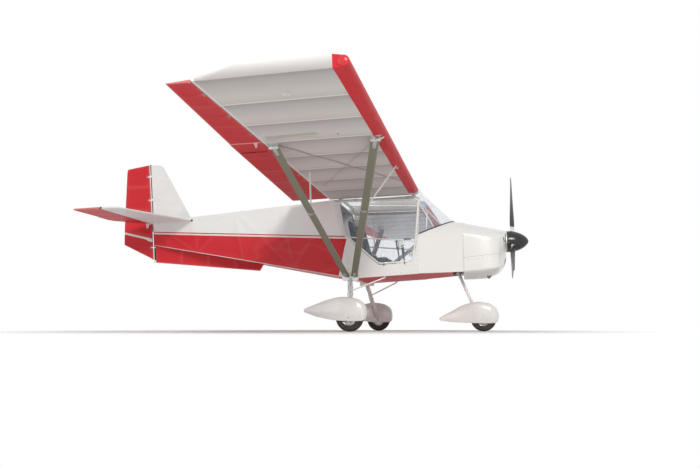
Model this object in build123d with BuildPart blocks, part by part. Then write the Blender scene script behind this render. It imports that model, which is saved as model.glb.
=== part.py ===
from build123d import *
from math import atan2, cos, degrees, hypot, radians, sin, tan
import os

# Two-seat, high-wing, strut-braced ultralight aircraft with a tractor propeller.
# X runs forward to the spinner's tip, Y to port and Z up. The floor is z = 0 under the tyres,
# and the origin lies midway along the aircraft. All sizes are millimetres.

os.makedirs("parts", exist_ok=True)

# Overall places
spinner_tip_x = 2800.0
tail_end_x = -2800.0
half_span = 4750.0

# Clearances
seat_gap = 0.3
pin_clearance = 0.05
swing_gap = 6.0

# Cabin and rear fuselage: an outer skin over bolted tubes
skin = 12.0
side_wall = 12.0
cabin_half_width = 555.0
seam_low = (622.0, 657.0)
seam_high = (392.0, 1655.0)
rear_crown = 25.0
tail_half_width = 45.0
tail_low_z = 1190.0
tail_high_z = 1525.0
tail_crown = 8.0

# Front fuselage: seam behind the door post, firewall and nose
front_seam_x = 1460.0
front_seam_low_z = 705.0
shoulder_z = 1090.0
front_crown_z = 1460.0
firewall_x = 1990.0
firewall_half_low = 330.0
firewall_low_z = 735.0
firewall_half_high = 300.0
firewall_shoulder_z = 1230.0
firewall_crown_z = 1388.0
firewall_plate = 6.0
belly_front_x = 1850.0
floor_plate = 10.0
floor_side_gap = 5.0

# Cowling sections: (x, chine half width, chine z, keel z, shoulder half width, shoulder z, top z)
cowl_wall = 6.0
cowl_lip = 3.0
cowl_step = 2.0
cowl_stations = [
    (firewall_x + seat_gap, firewall_half_low, firewall_low_z + cowl_lip, 655.0, firewall_half_high,
     firewall_shoulder_z, firewall_crown_z - cowl_step),
    (2220.0, 322.0, 755.0, 662.0, 286.0, 1200.0, 1336.0),
    (2410.0, 288.0, 782.0, 722.0, 246.0, 1165.0, 1292.0),
    (2480.0, 205.0, 845.0, 800.0, 180.0, 1150.0, 1278.0),
    (2512.0, 120.0, 925.0, 890.0, 118.0, 1150.0, 1268.0),
]

# Windscreen: foot on a sloping plane round the front deck, head at the wing's nose
screen_wall = 5.0
screen_side_z = 1200.0
screen_foot_x = 1870.0
screen_back_foot_x = 1465.0
screen_back_head_x = 1478.0
screen_inset = 60.0
screen_half_width = cabin_half_width - screen_inset
screen_tangent = (1736.0, 278.0)
screen_head_z = 1768.0
screen_head_bulge = 14.0
screen_clearance = 1.6

# Wings: constant main chord, round nose, with incidence and dihedral
root_inset = 55.0
wing_root_y = cabin_half_width - root_inset
wing_nose_x = 1470.0
wing_nose_z = 1735.0
incidence = 2.75
dihedral = 1.4
main_chord = 1143.0
nose_run = 45.0
nose_depth = 40.0
nose_rise = 48.0
crest_run = 420.0
crest_rise = 98.0
rear_half_depth = 12.0
hinge_behind = 21.0

# Flaps and ailerons: chords behind the wing's rear edge
surface_nose = 15.0
surface_edge = 3.0
flap_root_chord = 467.0
flap_tip_chord = 318.0
aileron_root_chord = 312.0
aileron_tip_chord = 198.0
flap_start = 70.0
aileron_start = 2690.0
surface_end_gap = 12.0

# Hinges: a tongue with a pin through it, in a slot of the moving surface
tongue_radius = 10.0
tongue_width = 8.0
pin_radius = 5.0
pin_reach = 22.0
slot_width = 24.0

# Wing struts: faired tubes from the gear fitting to brackets under the wing
strut_chord = 80.0
strut_depth = 34.0
strut_foot_out = 21.0
strut_edge = 2.0
strut_foot = (615.0, cabin_half_width + strut_foot_out, 672.0)
strut_span = 2610.0
front_strut_run = 106.0
rear_strut_run = 1060.0
strut_head_drop = 18.0
strut_foot_apart = 45.0
bracket_chord = 92.0
bracket_width = 30.0
bracket_drop = 45.0
tie_hole = 6.0
tie_lug_wall = 10.0
tie_lug_reach = 55.0
jury_radius = 9.0
jury_share = 0.56
jury_front_run = 70.0
jury_rear_run = 1010.0

# Cabin tubes
tube_radius = 14.0
frame_gap = 9.0
frame_y = cabin_half_width - side_wall - tube_radius - frame_gap
frame_bend_overlap = 4.0
longeron_z = 1645.0
cross_tube_radius = 20.0
roof_tube_z = 1695.0
roof_wall = 4.0
roof_crest = (1050.0, 1806.0)
roof_back_ahead = 10.0
roof_back_rise = 40.0
roof_head_gap = 3.0
roof_overlap = 10.0
roof_brace_back_y = 180.0
roof_brace_front_inset = 100.0
# Windscreen tubes: (head y, foot x, foot y)
screen_tubes = [
    (40.0, 1740.0, 120.0),
    (280.0, 1645.0, 300.0),
]

# Doors: a tube ring with one rail, hung from the upper longeron
door_tube = 11.0
door_gap = 5.0
door_pane_wall = 4.0
door_bend = 34.0
door_corners = [
    (1469.0, 1626.0),
    (1426.0, 1104.0),
    (1385.0, 856.0),
    (973.0, 834.0),
    (535.0, 1207.0),
    (460.0, 1626.0),
]
door_rail = ((1426.0, 1104.0), (578.0, 1172.0))
door_hinge_z = 1650.0
door_hinge_xs = (680.0, 1290.0)
knuckle_radius = 8.0
knuckle_length = 30.0
door_pin = 4.0
door_hinge_leaf = 3.0

# Tail surfaces: flat tube frames under fabric
tail_plate = 24.0
tail_nose = 13.0
rudder_hinge_low = (-2343.0, 993.0)
rudder_hinge_high = (-2463.0, 2355.0)
post_ahead = 38.0
post_low_z = 950.0
fin_apex = (-1775.0, 1590.0)
fin_top = (-2249.0, 2341.0)
rudder_outline = [(-2789.0, 2305.0), (-2796.0, 1457.0), (-2790.0, 1211.0)]
stab_z = 1510.0
stab_apex_x = -1706.0
stab_tip = [(-2142.0, 1350.0), (-2200.0, 1385.0)]
stab_tip_y = 1387.0
elevator_hinge_x = -2385.0
elevator_inner_y = 62.0
elevator_notch = [(-2432.0, 66.0), (-2765.0, 392.0)]
elevator_tip = (-2765.0, 1345.0)
tab_span = (405.0, 700.0)
tab_plate = 4.0
ventral_front = (-756.0, 814.0)
ventral_top_x = -704.0
ventral_aft_z = 953.0
ventral_plate = 20.0

# Main gear
tyre_radius = 165.0
tyre_width = 100.0
rim_radius = 88.0
axle_radius = 10.0
main_wheel_x = 700.0
main_wheel_y = 1030.0
leg_top = (620.0, cabin_half_width + strut_foot_out, 640.0)
clamp_wall = 4.0
clamp_shares = (0.2, 0.4)
clamp_half_share = 0.015
leg_upper_radius = 26.0
leg_lower_radius = 20.0
leg_upper_share = 0.55
leg_foot_inset = 68.0
axle_reach = 90.0
axle_block_width = 16.0
hub_out_radius = 24.0
hub_end_gap = 4.0
disc_half = 6.0
flange_depth = 12.0
flange_wall = 8.0
bead_inset = 10.0
shoulder_drop = 7.0
brace_radius = 9.0
brace_share = 0.31
brace_inset = 35.0
brace_top = (1042.0, cabin_half_width - brace_inset)
fitting_size = (200.0, 40.0, 100.0)
fitting_round = 20.0

# Nose gear: a raked leg that turns in a mount behind the cowling
nose_tyre_radius = 160.0
nose_wheel_x = 2215.0
nose_leg_low = (2075.0, 368.0)
nose_leg_high = (1855.0, 876.0)
nose_leg_radius = 19.0
mount_length = 90.0
mount_drop = 40.0
mount_arm_low = 20.0
mount_arm_high = 70.0
collar_height = 16.0
collar_wall = 6.0
fork_drop = 75.0
fork_half = 55.5
fork_wall = 5.0
fork_width = 40.0

# Spat sections: (x from the axle, half width, low z, high z)
spat_wall = 6.0
main_spat_stations = [
    (-556.0, 12.0, 232.0, 266.0),
    (-400.0, 42.0, 178.0, 325.0),
    (-230.0, 68.0, 142.0, 382.0),
    (-80.0, 84.0, 126.0, 405.0),
    (70.0, 84.0, 122.0, 385.0),
    (150.0, 70.0, 126.0, 345.0),
    (190.0, 46.0, 150.0, 298.0),
    (205.0, 16.0, 190.0, 255.0),
]
nose_spat_stations = [
    (-556.0, 12.0, 138.0, 172.0),
    (-400.0, 42.0, 118.0, 252.0),
    (-230.0, 74.0, 108.0, 338.0),
    (-60.0, 90.0, 102.0, 374.0),
    (70.0, 88.0, 100.0, 352.0),
    (145.0, 70.0, 104.0, 310.0),
    (180.0, 46.0, 128.0, 262.0),
    (194.0, 16.0, 165.0, 225.0),
]
wheel_opening = 176.0
opening_half_width = 58.0

# Propeller and spinner
prop_axis_z = 1133.0
spinner_base_x = 2520.0
spinner_radius = 135.0
spinner_wall = 4.0
back_plate = 5.0
hub_radius = 55.0
hub_front_x = 2650.0
blade_x = 2600.0
blade_count = 3
blade_root_radius = 18.0
shaft_radius = 20.0
shaft_hole = 45.0
# Blade sections: (distance from the axis, chord, thickness, pitch angle)
blade_stations = [
    (150.0, 72.0, 24.0, 42.0),
    (330.0, 112.0, 18.0, 27.0),
    (600.0, 92.0, 12.0, 17.0),
    (830.0, 46.0, 6.0, 12.0),
]

# Engine block and cabin furniture
engine_size = (360.0, 400.0, 300.0)
engine_rear_x = 2030.0
engine_low_z = 900.0
seat_inner_y = 37.0
seat_side_gap = 56.0
seat_width = cabin_half_width - side_wall - seat_side_gap - seat_inner_y
seat_y = seat_inner_y + seat_width / 2
seat_leg_xs = (1060.0, 720.0)
seat_outline = [(1090.0, 860.0), (1090.0, 930.0), (760.0, 905.0), (600.0, 1420.0),
                (530.0, 1400.0), (690.0, 830.0)]
panel_x = 1530.0
panel_wall = 20.0
panel_low_z = 985.0
panel_gap = 1.0
shelf_gap = 2.0
stick_foot_x = 1210.0
stick_y = seat_y
stick_lean = 40.0
grip_lean = 16.0
grip_length = 120.0
stick_height = 330.0
stick_radius = 9.0
pedal_x = 1790.0
pedal_height = 180.0
pedal_half_width = 35.0
pedal_pad_height = 50.0
pedal_pad_wall = 18.0
pedal_ys = (90.0, 190.0)

middle_plane = Plane.XZ


def save(part, name):
    """Writes one finished piece under its own name."""
    part.label = name
    export_step(part, "parts/" + name + ".step")


def save_pair(part, name):
    """Writes the port piece and its mirror image."""
    save(part, name + "_left")
    with BuildPart() as twin:
        mirror(part, about=middle_plane)
    save(twin.part, name + "_right")


def save_both(part, name):
    """Writes the port piece and its mirror image as one node of two solids."""
    with BuildPart() as both:
        add(part)
        mirror(part, about=middle_plane)
    save(both.part, name)


def tube(start, end, radius, mode=Mode.ADD):
    """Adds a straight round tube between two points."""
    run = Vector(*end) - Vector(*start)
    with BuildSketch(Plane(origin=start, z_dir=run)) as ring:
        Circle(radius)
    extrude(ring.sketch, amount=run.length, mode=mode)


def block(low, high, mode=Mode.ADD):
    """Adds an upright box between two opposite corners."""
    middle = [(a + b) / 2 for a, b in zip(low, high)]
    size = [b - a for a, b in zip(low, high)]
    with Locations(tuple(middle)):
        Box(*size, mode=mode)


def trim(start, end, run, rise):
    """Removes a band across the aircraft, swept from a side-view line by run and rise."""
    with BuildSketch(side_plane(2 * cabin_half_width)) as band:
        with BuildLine():
            Polyline(start, end, (end[0] + run, end[1] + rise), (start[0] + run, start[1] + rise),
                     close=True)
        make_face()
    extrude(band.sketch, amount=4 * cabin_half_width, mode=Mode.SUBTRACT)


def trim_to_floor():
    """Seats a piece's lower end on the cabin floor."""
    trim((seam_low[0], belly_z(seam_low[0]) + floor_plate + seat_gap),
         (firewall_x, belly_z(firewall_x) + floor_plate + seat_gap), 0, -side_wall)


def slope(low, high, x):
    """Height at x on the line between two side-view points."""
    return low[1] + (high[1] - low[1]) * (x - low[0]) / (high[0] - low[0])


def along(start, end, share):
    """Point part of the way from one point to another."""
    return tuple(a + (b - a) * share for a, b in zip(start, end))


def cross_plane(x):
    """Plane across the aircraft at x, drawn as (y, z)."""
    return Plane(origin=(x, 0, 0), x_dir=(0, 1, 0), z_dir=(1, 0, 0))


def side_plane(y):
    """Upright plane along the aircraft at y, drawn as (x, z), with its normal to starboard."""
    return Plane(origin=(0, y, 0), x_dir=(1, 0, 0), z_dir=(0, -1, 0))


def belly_z(x):
    """Height of the lower longeron line at x."""
    return slope(seam_low, (front_seam_x, front_seam_low_z), x)


# Rear fuselage: a tapering box with a crowned top, open to the cabin and at the tail post
hinge_rake = atan2(rudder_hinge_high[0] - rudder_hinge_low[0], rudder_hinge_high[1] - rudder_hinge_low[1])
tail_face_ahead = (post_ahead + tail_nose + seat_gap) / cos(hinge_rake)


def rudder_line_x(z):
    """Place of the rudder's hinge line at a height."""
    return rudder_hinge_low[0] + (z - rudder_hinge_low[1]) * tan(hinge_rake)


def seam_plane(back):
    """Raked plane of the cabin's rear frame, moved back along its normal."""
    up = Vector(seam_high[0] - seam_low[0], 0, seam_high[1] - seam_low[1]).normalized()
    normal = Vector(0, 1, 0).cross(up)
    origin = Vector(seam_low[0], 0, seam_low[1]) - normal * back
    return Plane(origin=origin, x_dir=(0, 1, 0), z_dir=normal)


def tail_plane():
    """Raked plane of the fuselage's tail end, ahead of the tail post."""
    origin = Vector(rudder_line_x(tail_low_z) + tail_face_ahead, 0, tail_low_z)
    up = Vector(sin(hinge_rake), 0, cos(hinge_rake))
    return Plane(origin=origin, x_dir=(0, 1, 0), z_dir=Vector(0, 1, 0).cross(up))


def box_section(plane, half, height, crown, inset=0.0):
    """Flat-bottomed section with upright sides and a crowned top, on a raked plane."""
    with BuildSketch(plane) as section:
        with BuildLine():
            Line((-half + inset, inset), (half - inset, inset))
            Line((half - inset, inset), (half - inset, height - inset))
            ThreePointArc((half - inset, height - inset), (0, height + crown - inset),
                          (-half + inset, height - inset))
            Line((-half + inset, height - inset), (-half + inset, inset))
        make_face()
    return section.sketch


seam_height = hypot(seam_high[0] - seam_low[0], seam_high[1] - seam_low[1])
tail_height = (tail_high_z - tail_low_z) / cos(hinge_rake)


def rear_core(back, inset, mode=Mode.ADD):
    """Solid form of the rear fuselage, its front face moved back and its sides inset."""
    loft([box_section(seam_plane(back), cabin_half_width, seam_height, rear_crown, inset),
          box_section(tail_plane(), tail_half_width, tail_height, tail_crown, inset)],
         ruled=True, mode=mode)


with BuildPart() as rear_fuselage:
    rear_core(seat_gap, 0.0)
    rear_core(-skin, skin, Mode.SUBTRACT)
save(rear_fuselage.part, "rear_fuselage")

tail_face_low = (rudder_line_x(tail_low_z) + tail_face_ahead, tail_low_z)


def keel_z(x):
    """Height of the rear fuselage's flat bottom at x."""
    return slope(seam_low, tail_face_low, x)


# Ventral fin on the keel line
with BuildPart() as ventral_fin:
    with BuildSketch(side_plane(ventral_plate / 2)):
        aft_x = rudder_line_x(ventral_aft_z) + tail_face_ahead
        with BuildLine():
            Polyline((aft_x, ventral_aft_z), ventral_front,
                     (ventral_top_x, keel_z(ventral_top_x) - seat_gap),
                     (tail_face_low[0], keel_z(tail_face_low[0]) - seat_gap), close=True)
        make_face()
    extrude(amount=ventral_plate)
save(ventral_fin.part, "ventral_fin")

# Front deck: the fuselage from the door post to the firewall, open below
deck_seam = (cabin_half_width, front_seam_low_z, cabin_half_width, shoulder_z, front_crown_z)
deck_firewall = (firewall_half_low, firewall_low_z, firewall_half_high, firewall_shoulder_z,
                 firewall_crown_z)


def hull_section(plane, half_low, z_low, keel, half_high, z_high, z_top, inset=0.0):
    """Keel arc or line, leaning side, crowned top and the other side."""
    low = (half_low - inset, z_low + inset)
    high = (half_high - inset, z_high)
    port_low, port_high = (-low[0], low[1]), (-high[0], high[1])
    with BuildSketch(plane) as section:
        with BuildLine():
            if keel < z_low:
                ThreePointArc(port_low, (0, keel + inset), low)
            else:
                Line(port_low, low)
            Line(low, high)
            ThreePointArc(high, (0, z_top - inset), port_high)
            Line(port_high, port_low)
        make_face()
    return section.sketch


def deck_section(x, inset=0.0, drop=0.0):
    """Section of the front deck at x, its floor lowered by drop."""
    share = (x - front_seam_x) / (firewall_x - front_seam_x)
    half_low, z_low, half_high, z_high, z_top = along(deck_seam, deck_firewall, share)
    floor_z = z_low - drop
    half_floor = slope((z_low, half_low), (z_high, half_high), floor_z)
    return hull_section(cross_plane(x), half_floor, floor_z - inset, floor_z, half_high, z_high, z_top,
                        inset)


deck_top_z = slope((front_seam_x, front_crown_z), (firewall_x, firewall_crown_z), screen_foot_x)
screen_slope = atan2(deck_top_z - screen_side_z, screen_foot_x - front_seam_x)


def screen_plane(lift):
    """Sloping plane of the windscreen's foot, drawn as (distance forward, y)."""
    ahead = Vector(cos(screen_slope), 0, sin(screen_slope))
    up = Vector(-sin(screen_slope), 0, cos(screen_slope))
    return Plane(origin=Vector(front_seam_x, 0, screen_side_z) + up * lift, x_dir=ahead, z_dir=up)


def cut_above_screen_plane(lift):
    """Removes what stands above the windscreen's foot."""
    with BuildSketch(screen_plane(lift)) as above:
        Rectangle(4 * cabin_half_width, 4 * cabin_half_width)
    extrude(above.sketch, amount=2 * cabin_half_width, mode=Mode.SUBTRACT)


with BuildPart() as front_deck:
    loft([deck_section(front_seam_x + seat_gap), deck_section(firewall_x)], ruled=True)
    loft([deck_section(front_seam_x + seat_gap, side_wall, 2 * side_wall),
          deck_section(firewall_x, side_wall, 2 * side_wall)], ruled=True, mode=Mode.SUBTRACT)
    cut_above_screen_plane(0)
save(front_deck.part, "front_deck")

# Firewall: a plate inside the deck's front end
with BuildPart() as firewall:
    loft([deck_section(firewall_x - firewall_plate, side_wall + seat_gap, -2 * side_wall),
          deck_section(firewall_x, side_wall + seat_gap, -2 * side_wall)], ruled=True)
save(firewall.part, "firewall")

# Instrument panel with the dark shelf that runs forward under the windscreen
with BuildPart() as instrument_panel:
    loft([deck_section(panel_x, side_wall + panel_gap, -2 * side_wall),
          deck_section(firewall_x - 2 * firewall_plate, side_wall + panel_gap, -2 * side_wall)],
         ruled=True)
    with BuildSketch(side_plane(cabin_half_width)) as shelf:
        with BuildLine():
            shelf_low_x = panel_x + panel_wall
            shelf_drop = panel_wall / 2
            Polyline((panel_x, panel_low_z), (shelf_low_x, panel_low_z),
                     (shelf_low_x, screen_side_z + (shelf_low_x - front_seam_x) * tan(screen_slope)
                      - shelf_drop),
                     (screen_foot_x, deck_top_z - shelf_drop), (screen_foot_x, deck_top_z - shelf_gap),
                     (panel_x, screen_side_z + (panel_x - front_seam_x) * tan(screen_slope)
                      - shelf_gap),
                     close=True)
        make_face()
    extrude(shelf.sketch, amount=2 * cabin_half_width, mode=Mode.INTERSECT)
save(instrument_panel.part, "instrument_panel")

# Windscreen: one clear sheet from the deck to the wing's nose
def screen_outline(plane, back, half, knee, front):
    """Closed outline: back edge, two sides and a rounded front."""
    with BuildSketch(plane) as outline:
        with BuildLine():
            Line((back, -half), (knee[0], -knee[1]))
            ThreePointArc((knee[0], -knee[1]), (front, 0), knee)
            Line(knee, (back, half))
            Line((back, half), (back, -half))
        make_face()
    return outline.sketch


def on_slope(x):
    """Distance along the windscreen's foot plane for a place x."""
    return (x - front_seam_x) / cos(screen_slope)


def screen_body(inset):
    """Space under the windscreen, inset from its outer face."""
    back = 3 * inset
    foot = screen_outline(screen_plane(seat_gap), on_slope(screen_back_foot_x - back),
                          screen_half_width - inset,
                          (on_slope(screen_tangent[0] - inset), screen_tangent[1] - inset),
                          on_slope(screen_foot_x - inset))
    head_plane = Plane.XY.offset(screen_head_z)
    head_knee = (screen_back_head_x + 0.6 * screen_head_bulge - inset, 0.6 * screen_half_width)
    head = screen_outline(head_plane, screen_back_head_x - back, screen_half_width - inset,
                          head_knee, screen_back_head_x + screen_head_bulge - inset)
    return [foot, head]


with BuildPart() as windscreen:
    loft(screen_body(0.0), ruled=True)
    loft(screen_body(screen_wall), ruled=True, mode=Mode.SUBTRACT)
save(windscreen.part, "windscreen")


# Door outline, used for the ring, its pane and the opening in the cabin side
def door_outline(y, grow=0.0):
    """Closed door outline through the ring's tube, grown outwards."""
    with BuildSketch(side_plane(y)) as outline:
        with BuildLine():
            Polyline(*door_corners, close=True)
        make_face()
        fillet(outline.vertices(), door_bend)
        if grow:
            offset(amount=grow)
    return outline.sketch


def seam_x(z):
    """Place of the cabin's rear seam at a height."""
    return slope((seam_low[1], seam_low[0]), (seam_high[1], seam_high[0]), z)


# Cabin sides: the panel under and behind each door
door_top_z = door_corners[0][1]
with BuildPart() as cabin_side:
    with BuildSketch(side_plane(cabin_half_width)):
        with BuildLine():
            Polyline(seam_low, (front_seam_x, front_seam_low_z), (front_seam_x, screen_side_z),
                     (seam_low[0], screen_side_z), (seam_low[0], door_top_z),
                     (seam_x(door_top_z), door_top_z), close=True)
        make_face()
    extrude(amount=side_wall)
    extrude(door_outline(cabin_half_width + 1, door_tube + door_gap), amount=side_wall + 2,
            mode=Mode.SUBTRACT)
save_both(cabin_side.part, "cabin_sides")

# Floor: a flat panel between the sides, open ahead of its front edge for the nose leg
with BuildPart() as floor_panel:
    with BuildSketch(side_plane(cabin_half_width)):
        back_x = seam_low[0] + seat_gap
        with BuildLine():
            Polyline((back_x, belly_z(back_x)), (belly_front_x, belly_z(belly_front_x)),
                     (belly_front_x, belly_z(belly_front_x) + floor_plate),
                     (back_x, belly_z(back_x) + floor_plate), close=True)
        make_face()
    extrude(amount=2 * cabin_half_width)
    with BuildSketch():
        inner_half = cabin_half_width - side_wall - seat_gap
        share = (belly_front_x - front_seam_x) / (firewall_x - front_seam_x)
        front_half = along((cabin_half_width,), (firewall_half_low,), share)[0] - side_wall - floor_side_gap
        with BuildLine():
            Polyline((back_x - side_wall, -inner_half), (front_seam_x, -inner_half),
                     (belly_front_x, -front_half), (belly_front_x, front_half),
                     (front_seam_x, inner_half), (back_x - side_wall, inner_half), close=True)
        make_face()
    extrude(amount=2 * cabin_half_width, mode=Mode.INTERSECT)
save(floor_panel.part, "floor_panel")

# Longerons: a straight upper tube and a lower tube on the floor, with the doors' hinge lugs
lower_tube_lift = floor_plate + tube_radius + 3 * seat_gap
with BuildPart() as longeron:
    upper_back_x = seam_x(longeron_z) - tube_radius
    back = seam_low[0] - tube_radius
    bend = front_seam_x - tube_radius
    tube((upper_back_x, frame_y, longeron_z), (screen_back_head_x, frame_y, longeron_z), tube_radius)
    tube((back, frame_y, belly_z(back) + lower_tube_lift),
         (bend + frame_bend_overlap, frame_y, belly_z(bend + frame_bend_overlap) + lower_tube_lift), tube_radius)
    trim((seam_x(seam_low[1] - side_wall), seam_low[1] - side_wall),
         (seam_x(seam_high[1] + side_wall), seam_high[1] + side_wall), -10 * tube_radius, 0)
    for hinge_x in door_hinge_xs:
        arm = knuckle_length / 2
        inner_end = knuckle_length / 2 + 2 * seat_gap
        for side in (-1, 1):
            ends = sorted((hinge_x + side * inner_end, hinge_x + side * (inner_end + arm)))
            tube((ends[0], cabin_half_width, door_hinge_z), (ends[1], cabin_half_width, door_hinge_z),
                 knuckle_radius)
            block((ends[0], frame_y, door_hinge_z - door_pin), (ends[1], cabin_half_width,
                  door_hinge_z + door_pin))
        tube((hinge_x - inner_end - arm, cabin_half_width, door_hinge_z),
             (hinge_x + inner_end + arm, cabin_half_width, door_hinge_z), door_pin)
    nose_end = firewall_x - firewall_plate - tube_radius
    tube((bend - frame_bend_overlap, frame_y, belly_z(bend) + lower_tube_lift),
         (nose_end, firewall_half_low - side_wall - 2 * tube_radius, belly_z(nose_end)
          + lower_tube_lift), 0.85 * tube_radius)
save_both(longeron.part, "longerons")

# Door posts beside the door's front and rear edges
with BuildPart() as door_post:
    post_top_z = longeron_z
    front_foot_x = door_corners[1][0] + 2 * door_tube
    tube((front_foot_x, frame_y - 2 * tube_radius, screen_side_z), (door_corners[0][0],
         frame_y, post_top_z), 0.8 * tube_radius)
    rear_foot_z = belly_z(seam_low[0]) + lower_tube_lift
    rear_x = 2 * tube_radius
    tube((seam_x(rear_foot_z) + rear_x, frame_y, rear_foot_z), (seam_x(post_top_z) + rear_x, frame_y,
         post_top_z), 0.8 * tube_radius)
    tube((seam_x(post_top_z), frame_y, longeron_z), (screen_back_head_x + rear_x, frame_y,
         longeron_z), tube_radius + seat_gap, mode=Mode.SUBTRACT)
    tube((seam_low[0], frame_y, belly_z(seam_low[0]) + lower_tube_lift),
         (front_seam_x, frame_y, belly_z(front_seam_x) + lower_tube_lift), tube_radius + seat_gap,
         mode=Mode.SUBTRACT)
save_both(door_post.part, "door_posts")

# Wings
wing_tilt, wing_rise = radians(incidence), radians(dihedral)
chord_way = Vector(-cos(wing_tilt), 0, -sin(wing_tilt))
span_way = Vector(0, cos(wing_rise), sin(wing_rise))
wing_length = (half_span - wing_root_y) / cos(wing_rise)
hinge_run = main_chord + hinge_behind


def wing_plane(distance):
    """Plane across the port wing at a distance from its root, drawn as (aft, up)."""
    origin = Vector(wing_nose_x, wing_root_y, wing_nose_z) + span_way * distance
    return Plane(origin=origin, x_dir=chord_way, z_dir=span_way)


def wing_point(run, rise, distance):
    """Point of the port wing: aft of the nose, above the chord line, out from the root."""
    return wing_plane(distance).from_local_coords(Vector(run, rise, 0))


def underside(run):
    """Rise of the wing's flat underside."""
    return slope((nose_run, -nose_depth), (main_chord, -rear_half_depth), run)


# Roof: two cross tubes between the wing roots, two slender braces and a clear sheet
def cut_at_wing_roots():
    """Ends a roof piece just inside both wings' root faces."""
    with BuildSketch(wing_plane(-seat_gap)) as root:
        Rectangle(4 * main_chord, 2 * main_chord)
    beyond = extrude(root.sketch, amount=wing_root_y, mode=Mode.PRIVATE)
    add(beyond, mode=Mode.SUBTRACT)
    add(beyond.mirror(middle_plane), mode=Mode.SUBTRACT)


cross_xs = (seam_high[0] + 4 * tube_radius, front_seam_x - 4 * tube_radius)


def cut_cross_tubes():
    """Ends a slender tube where it meets the roof's cross tubes."""
    for cross_x in cross_xs:
        tube((cross_x, -wing_root_y, roof_tube_z), (cross_x, wing_root_y, roof_tube_z),
             cross_tube_radius + seat_gap, mode=Mode.SUBTRACT)


with BuildPart() as roof_tubes:
    for cross_x in cross_xs:
        tube((cross_x, -wing_root_y - roof_overlap, roof_tube_z),
             (cross_x, wing_root_y + roof_overlap, roof_tube_z), cross_tube_radius)
    cut_at_wing_roots()
save(roof_tubes.part, "roof_tubes")

with BuildPart() as roof_braces:
    for side in (-1, 1):
        tube((cross_xs[0], side * roof_brace_back_y, roof_tube_z),
             (cross_xs[1], side * (wing_root_y - roof_brace_front_inset), roof_tube_z), 0.7 * tube_radius)
    cut_cross_tubes()
save(roof_braces.part, "roof_braces")

with BuildPart() as roof_panel:
    back_x, crown_z = seam_high[0] + roof_back_ahead, seam_high[1] + rear_crown
    roof_points = [(screen_back_head_x - roof_head_gap, screen_head_z + roof_wall / 2), roof_crest,
                   (back_x, crown_z + roof_back_rise)]
    with BuildSketch(side_plane(wing_root_y + roof_overlap)) as sheet:
        with BuildLine():
            low = ThreePointArc(*roof_points)
            high = ThreePointArc(*[(x, z + roof_wall) for x, z in roof_points])
            Line(low @ 0, high @ 0)
            Polyline(low @ 1, (back_x, crown_z + seat_gap), (back_x - roof_wall, crown_z + seat_gap),
                     (back_x - roof_wall, crown_z + roof_back_rise + roof_wall), high @ 1)
        make_face()
    extrude(sheet.sketch, amount=2 * (wing_root_y + roof_overlap))
    cut_at_wing_roots()
save(roof_panel.part, "roof_panel")


# Windscreen tubes: two slanting pairs behind the screen
with BuildPart() as windscreen_tube:
    for head_y, foot_x, foot_y in screen_tubes:
        foot_z = screen_side_z + (foot_x - front_seam_x) * tan(screen_slope) - tube_radius
        tube((cross_xs[1], head_y, roof_tube_z), (foot_x, foot_y, foot_z), 0.6 * tube_radius)
    cut_cross_tubes()
    trim((front_seam_x, screen_side_z - screen_clearance), (screen_foot_x, deck_top_z
         - screen_clearance), 0, -4 * tube_radius)
save_both(windscreen_tube.part, "windscreen_tubes")


def add_tongue(frame, reach):
    """Hinge tongue with its pin: frame's origin on the hinge axis, its x aft."""
    with BuildSketch(frame.offset(-tongue_width / 2)) as tongue:
        Circle(tongue_radius)
        with Locations((-reach / 2, 0)):
            Rectangle(reach, 1.5 * tongue_radius)
    extrude(tongue.sketch, amount=tongue_width)
    with BuildSketch(frame.offset(-pin_reach)) as pin:
        Circle(pin_radius)
    extrude(pin.sketch, amount=2 * pin_reach)


def cut_slot(frame):
    """Slot for a tongue and bores for its pin, in a moving surface."""
    ahead, behind = 2 * surface_nose, tongue_radius + swing_gap
    with BuildSketch(frame.offset(-slot_width / 2)) as slot:
        with Locations(((behind - ahead) / 2, 0)):
            Rectangle(ahead + behind, 4 * surface_nose)
    extrude(slot.sketch, amount=slot_width, mode=Mode.SUBTRACT)
    with BuildSketch(frame.offset(-pin_reach - 1)) as bore:
        Circle(pin_radius + pin_clearance)
    extrude(bore.sketch, amount=2 * pin_reach + 2, mode=Mode.SUBTRACT)


def spread(start, end, count):
    """Hinge stations, evenly spaced inside a span."""
    step = (end - start) / count
    return [start + step * (i + 0.5) for i in range(count)]


aileron_span = (aileron_start, wing_length - surface_end_gap)
flap_span = (flap_start, aileron_start - surface_end_gap)
flap_hinges = spread(*flap_span, 3)
aileron_hinges = spread(*aileron_span, 3)


def hinge_frame(distance):
    """Frame on the wing's rear hinge line."""
    return Plane(origin=wing_point(hinge_run, 0, distance), x_dir=chord_way, z_dir=span_way)


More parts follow.
